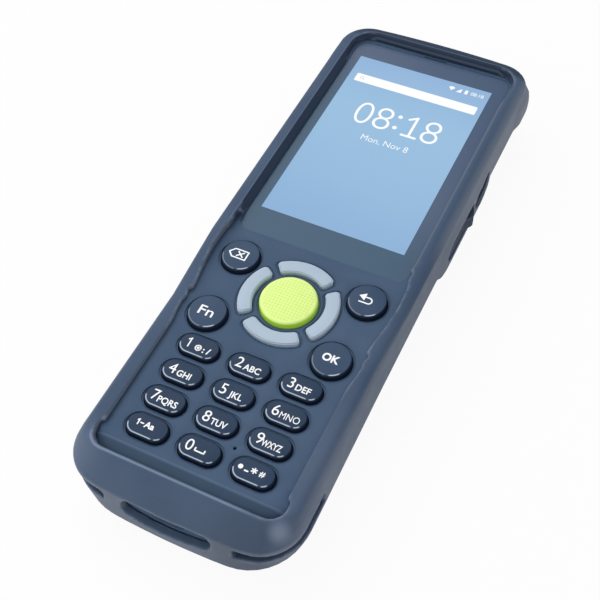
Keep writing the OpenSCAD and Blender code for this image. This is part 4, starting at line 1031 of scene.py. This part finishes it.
@dataclass
class Keypad(Assembly):
    """The front keys and their legends: a number key's letters, with their middle, width and boldness."""

    lift: float = 0.035 * MM
    sink: float = 0.08 * MM
    thick: float = 0.05 * MM
    digit_h: float = 3.2
    digit_at: Point = (-2.85, 0.25)
    letters: tuple[tuple[str, float, float, float], ...] = (
        ("ABC", 1.2, 5.0, 0.018), ("DEF", 0.9, 4.4, 0.018), ("GHI", 0.9, 4.2, 0.018),
        ("JKL", 1.1, 3.9, 0.018), ("MNO", 1.45, 5.7, 0.0), ("PQRS", 1.15, 5.9, 0.018),
        ("TUV", 1.0, 4.7, 0.018), ("WXYZ", 0.85, 5.7, 0.018))

    def build(self) -> None:
        """Makes the keys' tops and everything printed on them."""
        for name in (*range(1, 10), 0, "mode", "symbols"):
            self.smooth_key(f"key_{name}", "key_plastic")
        for name in ("backspace", "return", "fn", "ok"):
            self.smooth_key(f"key_{name}", "round_key_plastic")
        for key in ("nav_up", "nav_down", "nav_left", "nav_right"):
            part = Part(key + "_arc", "arrow_plastic", "arrow_plastic", key, (key,))
            self.bench.rounded_copy(part, 0.18, 40.0, 3)
        self.smooth_key("key_scan", "lime_key", "scan_plastic")
        self.print_numbers()
        self.print_last_row()
        self.print_round_keys()
        self.scan_grid()

    @staticmethod
    def middle(key: str) -> Vector:
        """The middle of a key's own box."""
        low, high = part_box(key)
        return (low + high) / 2

    def smooth_key(self, key: str, finish: str, slot: str = "key_plastic") -> None:
        """Copies a key, shaded smooth over its edge, with the way from its middle as a UV map.

        Args:
            key: The key.
            finish: Its finish.
            slot: The record's material slot.
        """
        bm = self.bench.copy_of(key)
        centre = self.middle(key)
        layer = bm.loops.layers.uv.new("middle")
        for face in bm.faces:
            for loop in face.loops:
                loop[layer].uv = ((loop.vert.co.x - centre.x) / MM, (loop.vert.co.y - centre.y) / MM)
        self.bench.finish(bm, Part(key + "_cap", finish, slot, key, (key,), 50.0))

    def lay(self, key: str, parts: Iterable[Shape], name: str = "legend",
            finish: str = "legend_white") -> None:
        """Lays flat shapes on a key as one piece.

        Args:
            key: The key, which is also its body.
            parts: The shapes, placed from the key's middle.
            name: The piece's first name.
            finish: Its finish.
        """
        bm = joined(parts, self.thick)
        cut_fine(bm, 0.55 * MM)
        centre = self.middle(key)
        drape(moved(bm, centre.x, centre.y), self.bench.copy_of(key), self.lift, self.sink)
        self.bench.finish(bm, Part(f"{name}_{key}", finish, "key_plastic", key))

    @staticmethod
    def one(x: float, y: float, height: float, line: float) -> list[Shape]:
        """A figure one about a place on its stem: the stem and its flag."""
        top, low = y + (height - line) / 2, y - (height - line) / 2
        return path(line, (x, low), (x, top), (x - height * 0.2, top - height * 0.17))

    def digit(self, text: str) -> Shape:
        """A number key's digit."""
        return put(words(text, self.digit_h, None), *self.digit_at)

    def print_numbers(self) -> None:
        """Prints each digit and what stands beside it."""
        one = self.one(*self.digit_at, self.digit_h, 0.38)
        ring = path(0.36, *arc(0.82, 0.15, -0.5, range(0, 331, 30)))
        self.lay("key_1", [*one, put(disc(0.42, 20), 0.15, -0.5), *ring,
                           put(words(": /", 1.9, 2.2, 0.03), 2.75, -0.55)])
        for number, (letters, x, width, bold) in enumerate(self.letters, 2):
            beside = put(words(letters, 1.95, width, bold), x, -0.55)
            self.lay(f"key_{number}", [self.digit(str(number)), beside])
        space = path(0.4, (-0.95, 0.0), (-0.95, -0.75), (1.75, -0.75), (1.75, 0.0))
        self.lay("key_0", [self.digit("0"), *space])

    def print_last_row(self) -> None:
        """Prints the two keys of the last row that carry no digit alone."""
        self.lay("key_mode", [*self.one(-2.75, 0.5, 1.9, 0.36), *path(0.38, (-2.0, 0.45), (-1.25, 0.45)),
                              put(words("Aa", 1.9, 2.9, 0.03), 0.55, 0.5)])
        marks = [put(disc(0.68), -3.7, 0.25), *path(0.42, (-2.2, -0.35), (-1.4, -0.35)),
                 put(words("#", 1.6, 1.5, 0.02), 2.4, 0.5)]
        for angle in (90, 150, 210):
            marks += path(0.36, *arc(0.72, 0.1, 0.5, (angle - 180, angle)))
        self.lay("key_symbols", marks)

    def print_round_keys(self) -> None:
        """Prints the four round keys."""
        line = 0.42
        self.lay("key_fn", [put(words("Fn", 3.1, 4.6, 0.008), -0.1, 0.0)])
        self.lay("key_ok", [put(words("OK", 2.5, 5.0, 0.035), -0.1, 0.1)])
        tip = (-3.6, 0.05)
        frame = path(line, tip, (-2.2, -1.45), (2.05, -1.45), (2.05, 1.55), (-2.2, 1.55), tip)
        cross = path(line, (-0.9, -0.75), (0.9, 0.85)) + path(line, (-0.9, 0.85), (0.9, -0.75))
        self.lay("key_backspace", frame + cross)
        head = outline((-2.7, 0.95), (-0.75, -0.35), (-0.75, 2.25))
        bend = path(line, (-0.9, 0.95), (0.45, 0.95)) + path(line, (-2.0, -1.05), (0.45, -1.05))
        self.lay("key_return", [head, *bend, *path(line, *arc(1.0, 0.45, -0.05, range(-90, 91, 20)))])

    def scan_grid(self) -> None:
        """Raises a fine grid of ribs on the scan key's top."""
        reach, pitch, line = 7.3 * MM, 0.95 * MM, 0.16 * MM
        ribs = []
        count = int(reach / pitch)
        for offset in [step * pitch for step in range(-count, count + 1)]:
            for turn in (0.0, math.pi / 2):
                rib = bmesh.new()
                bmesh.ops.create_grid(rib, x_segments=10, y_segments=1, size=0.5)
                length = 2 * math.sqrt(reach ** 2 - offset ** 2)
                bmesh.ops.scale(rib, vec=(length, line, 1.0), verts=rib.verts)
                moved(rib, 0.0, offset)
                bmesh.ops.rotate(rib, matrix=Matrix.Rotation(turn, 3, "Z"), verts=rib.verts)
                ribs.append(rib)
        self.lay("key_scan", ribs, "grid", "lime_grid")


# ---- display


@dataclass
class Display(Assembly):
    """The cover glass, the lit panel and the picture on it, placed from the lit area's upper edge."""

    glass_border_w: float = 3.72 * MM
    glass_head: float = 7.4 * MM
    glass_foot: float = 9.95 * MM
    window_x: float = -0.52 * MM
    lit_head: float = 6.3 * MM
    lift: float = 0.03 * MM
    thick: float = 0.02 * MM

    def build(self) -> None:
        """Dresses the display."""
        low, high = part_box("cover_glass")
        head, foot = high.y - self.glass_head, low.y + self.glass_foot
        window = ((self.window_x, (head + foot) / 2), high.x - self.glass_border_w, (head - foot) / 2)
        glass = PrintedGlass(Recipe("printed_glass", ink(48, 82, 108)), *window, high.z).build()
        self.bench.paint("cover_glass", glass)
        lit = LitPicture(Recipe("lit_picture", ink(147, 182, 220)), foot, head).build()
        self.bench.paint("lcd_panel", lit)
        self.origin = Vector((0.0, high.y - self.lit_head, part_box("lcd_panel")[1].z + self.lift))
        self.search()
        self.clock()
        self.state_marks()

    def show(self, parts: Iterable[Shape], name: str, finish: str = "lit_white", lift: float = 0.0) -> None:
        """Adds lit marks to the picture as one piece."""
        bm = moved(joined(parts, self.thick), *(self.origin + Vector((0.0, 0.0, lift))))
        self.bench.finish(bm, Part(name, finish, "lit_screen"))

    def search(self) -> None:
        """Draws the search bar and the small lens on it."""
        self.show([put(plate(42.9, 3.75, 0.5), -0.6, -9.9)], "search_bar")
        lens = path(0.2, *arc(0.6, -19.8, -9.7, range(0, 361, 30)))
        handle = path(0.24, (-19.35, -10.15), (-18.85, -10.65))
        self.show(lens + handle, "search_mark", "lit_grey", self.thick)

    def clock(self) -> None:
        """Draws the tall thin clock and the day below it."""
        marks = [put(words(digit, 9.7, 5.7, -0.017), x, -24.9)
                 for digit, x in (("0", -12.25), ("8", -5.45), ("8", 11.2))]
        marks += path(0.85, (4.95, -29.35), (4.95, -20.5), (2.7, -22.0))
        marks += path(0.85, (2.6, -29.35), (7.2, -29.35))
        marks += [put(disc(0.75), -0.55, y) for y in (-22.1, -27.3)]
        marks.append(put(words("Mon, Nov 8", 2.35, 16.0, -0.008), -0.7, -35.15))
        self.show(marks, "clock")

    def state_marks(self) -> None:
        """Draws the small marks in the upper right corner: fan, wedge, cell and time."""
        fan = [(0.0, -0.95)] + [(1.55 * x, 1.9 * y - 0.95) for x, y in arc(1.0, 0.0, 0.0, range(48, 133, 12))]
        wedge = [(-0.85, -0.95), (0.85, -0.95), (0.85, 0.95)]
        cell = [(-0.5, -0.95), (0.5, -0.95), (0.5, 0.75), (0.2, 0.75), (0.2, 1.0), (-0.2, 1.0), (-0.2, 0.75),
                (-0.5, 0.75)]
        marks = [put(outline(*points), x, -2.75) for points, x in ((fan, 9.7), (wedge, 12.3), (cell, 14.8))]
        marks.append(put(words("08:18", 1.45, 4.4), 18.6, -2.75))
        self.show(marks, "state_marks")


# ---- case, sides and ends


@dataclass
class Shells(Assembly):
    """Both halves of the case, the battery lid and its latch."""

    def build(self) -> None:
        """Dresses the shells."""
        for node, name, finish, slot, body, width_mm in (
                ("front_housing", "front_shell", "case_plastic", "case_plastic", ROOT, 0.16),
                ("rear_housing", "rear_shell", "case_plastic", "case_plastic", ROOT, 0.16),
                ("battery_cover", "battery_lid_panel", "case_plastic", "case_plastic", "battery_lid", 0.15),
                ("battery_latch", "latch_slider", "side_key_rubber", "key_plastic", "latch", 0.12)):
            self.bench.rounded_copy(Part(name, finish, slot, body, (node,)), width_mm)


@dataclass
class SideKeys(Assembly):
    """The power key and both scan triggers."""

    def build(self) -> None:
        """Dresses the side keys."""
        for key in ("power_key", "trigger_right", "trigger_left"):
            part = Part(key + "_cap", "side_key_rubber", "key_plastic", key, (key,))
            self.bench.rounded_copy(part, 0.45, 40.0, 4)


@dataclass
class Optics(Assembly):
    """The scanning window at the head, and the camera window in the back with a lens and a lamp behind it."""

    lens_in: float = 4.5 * MM
    lamp_off: float = 7.5 * MM

    def build(self) -> None:
        """Dresses both windows and adds the camera's lens."""
        self.bench.paint("scan_window", self.bench.finishes["scan_window_red"])
        low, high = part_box("camera_window")
        y = (low.y + high.y) / 2
        lens_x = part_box("camera_module")[1].x - self.lens_in
        spots = ((lens_x, y, 2.7 * MM), (lens_x - self.lamp_off, y, 1.7 * MM))
        window = Window(Recipe("camera_window", ink(20, 21, 24)), 0.12, spots).build()
        self.bench.paint("camera_window", window)
        self.lens(lens_x, y, high.z)

    def lens(self, x: float, y: float, z: float) -> None:
        """A stepped barrel ring with a domed lens, facing down.

        Args:
            x: The lens's middle.
            y: The lens's middle.
            z: Where the window's inner face lies.
        """
        bm = bmesh.new()
        profile = [(0.0, -0.02), (0.7, 0.0), (1.2, 0.06), (1.3, 0.16), (1.7, 0.16), (1.8, 0.02), (2.5, 0.02),
                   (2.6, 0.12), (2.6, 0.16), (0.0, 0.16)]
        ring = [bm.verts.new((a * MM, 0.0, b * MM)) for a, b in profile]
        for pair in zip(ring, ring[1:]):
            bm.edges.new(pair)
        bmesh.ops.spin(bm, geom=bm.verts[:] + bm.edges[:], axis=(0, 0, 1), cent=(0, 0, 0), angle=2 * math.pi,
                       steps=40, use_merge=True)
        bmesh.ops.remove_doubles(bm, verts=bm.verts, dist=1e-6)
        bmesh.ops.recalc_face_normals(bm, faces=bm.faces)
        part = Part("camera_lens", "black_plastic", "black_plastic", smooth=40.0)
        self.bench.finish(moved(bm, x, y, z), part)


@dataclass
class Inside(Assembly):
    """Everything inside the case and the small metal parts."""

    def build(self) -> None:
        """Dresses the inner parts."""
        for finish, nodes in (
                ("sheet_steel", "lcd_frame dome_sheet shield_cans engine_bracket microphone vibration_motor "
                                "usb_connector card_holder"),
                ("screw_steel", "housing_screws board_screws strap_pins"),
                ("contact_gold", "dock_contacts battery_contacts"),
                ("black_plastic", "side_switches scan_engine camera_module speaker earpiece"),
                ("black_silicone", "housing_gasket keypad_mat cover_seal"),
                ("amber_film", "display_flex antenna"),
                ("board_laminate", "main_board"),
                ("battery_wrap", "battery_pack")):
            self.bench.paint(nodes, self.bench.finishes[finish])


# ---- studio


@dataclass
class Studio:
    """The floor, the lamps, the pale world and the camera."""

    ambient: float = 0.42
    key_power: float = 5.2
    fill_power: float = 1.35
    low_power: float = 0.25
    edge_power: float = 2.2
    lens_mm: float = 61.69
    eye: Place = (0.08744, -0.16999, 0.25619)
    turn_deg: Place = (36.0840, 2.5518, 26.0982)

    def build(self) -> None:
        """Sets the studio up."""
        self.floor()
        self.world()
        self.lamps()
        self.camera()
        bpy.context.scene.view_settings.view_transform = "Standard"

    @staticmethod
    def floor() -> None:
        """Lays a wide pale floor under the object."""
        bm = bmesh.new()
        bmesh.ops.create_grid(bm, x_segments=1, y_segments=1, size=4.0)
        mesh = bpy.data.meshes.new("floor")
        bm.to_mesh(mesh)
        bm.free()
        mesh.materials.append(PalePlain(Recipe("pale_floor", (0.86, 0.86, 0.86, 1.0))).build())
        floor = bpy.data.objects.new("floor", mesh)
        floor.location.z = -0.02 * MM
        bpy.context.scene.collection.objects.link(floor)

    def world(self) -> None:
        """White to the camera, and a softer light on surfaces."""
        world = bpy.data.worlds.new("studio")
        world.use_nodes = True
        bpy.context.scene.world = world
        g = Graph(world.node_tree)
        soft = g.node("ShaderNodeBackground", {"Color": (0.97, 0.98, 1.0, 1.0), "Strength": self.ambient})
        white = g.node("ShaderNodeBackground", {"Color": WHITE})
        mix = g.node("ShaderNodeMixShader", {0: g.straight(), 1: soft.outputs[0], 2: white.outputs[0]})
        g.node("ShaderNodeOutputWorld", {"Surface": mix.outputs[0]})

    def lamps(self) -> None:
        """Square soft lamps that face the object; where the last value is False, one only shines in gloss."""
        for name, place, size, power, matt in (
                ("key_lamp", (-0.42, 0.34, 0.75), 0.8, self.key_power, True),
                ("fill_lamp", (0.5, -0.45, 0.55), 0.7, self.fill_power, True),
                ("low_lamp", (-0.26, -0.21, 0.17), 0.2, self.low_power, True),
                ("edge_lamp", (-0.16, -0.62, 0.52), 0.16, self.edge_power, False),
                ("spot_lamp", (0.2, -0.6, 0.4), 0.07, self.edge_power * 0.35, False)):
            light = bpy.data.lights.new(name, "AREA")
            fill(light, shape="SQUARE", size=size, energy=power)
            lamp = bpy.data.objects.new(name, light)
            turn = (-Vector(place)).to_track_quat("-Z", "Y").to_euler()
            fill(lamp, location=place, rotation_euler=turn, visible_diffuse=matt)
            bpy.context.scene.collection.objects.link(lamp)

    def camera(self) -> None:
        """The camera, over the lower right corner and looking down at the keys."""
        lens = bpy.data.cameras.new("camera")
        fill(lens, lens=self.lens_mm, sensor_fit="HORIZONTAL", sensor_width=36.0, clip_start=0.01)
        camera = bpy.data.objects.new("camera", lens)
        turn = [math.radians(a) for a in self.turn_deg]
        fill(camera, location=self.eye, rotation_mode="XYZ", rotation_euler=turn)
        bpy.context.scene.collection.objects.link(camera)
        bpy.context.scene.camera = camera


def main() -> None:
    """Builds the looks around the frame and reports each piece."""
    logging.basicConfig(level=logging.INFO, format="%(message)s")
    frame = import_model()
    bench = Bench(frame, all_finishes())
    Studio().build()
    for assembly in (Boot, Shells, Keypad, Display, SideKeys, Optics, Inside):
        assembly(bench).build()
    LOG.info("%d pieces made", bench.made)


if __name__ == "__main__":
    main()
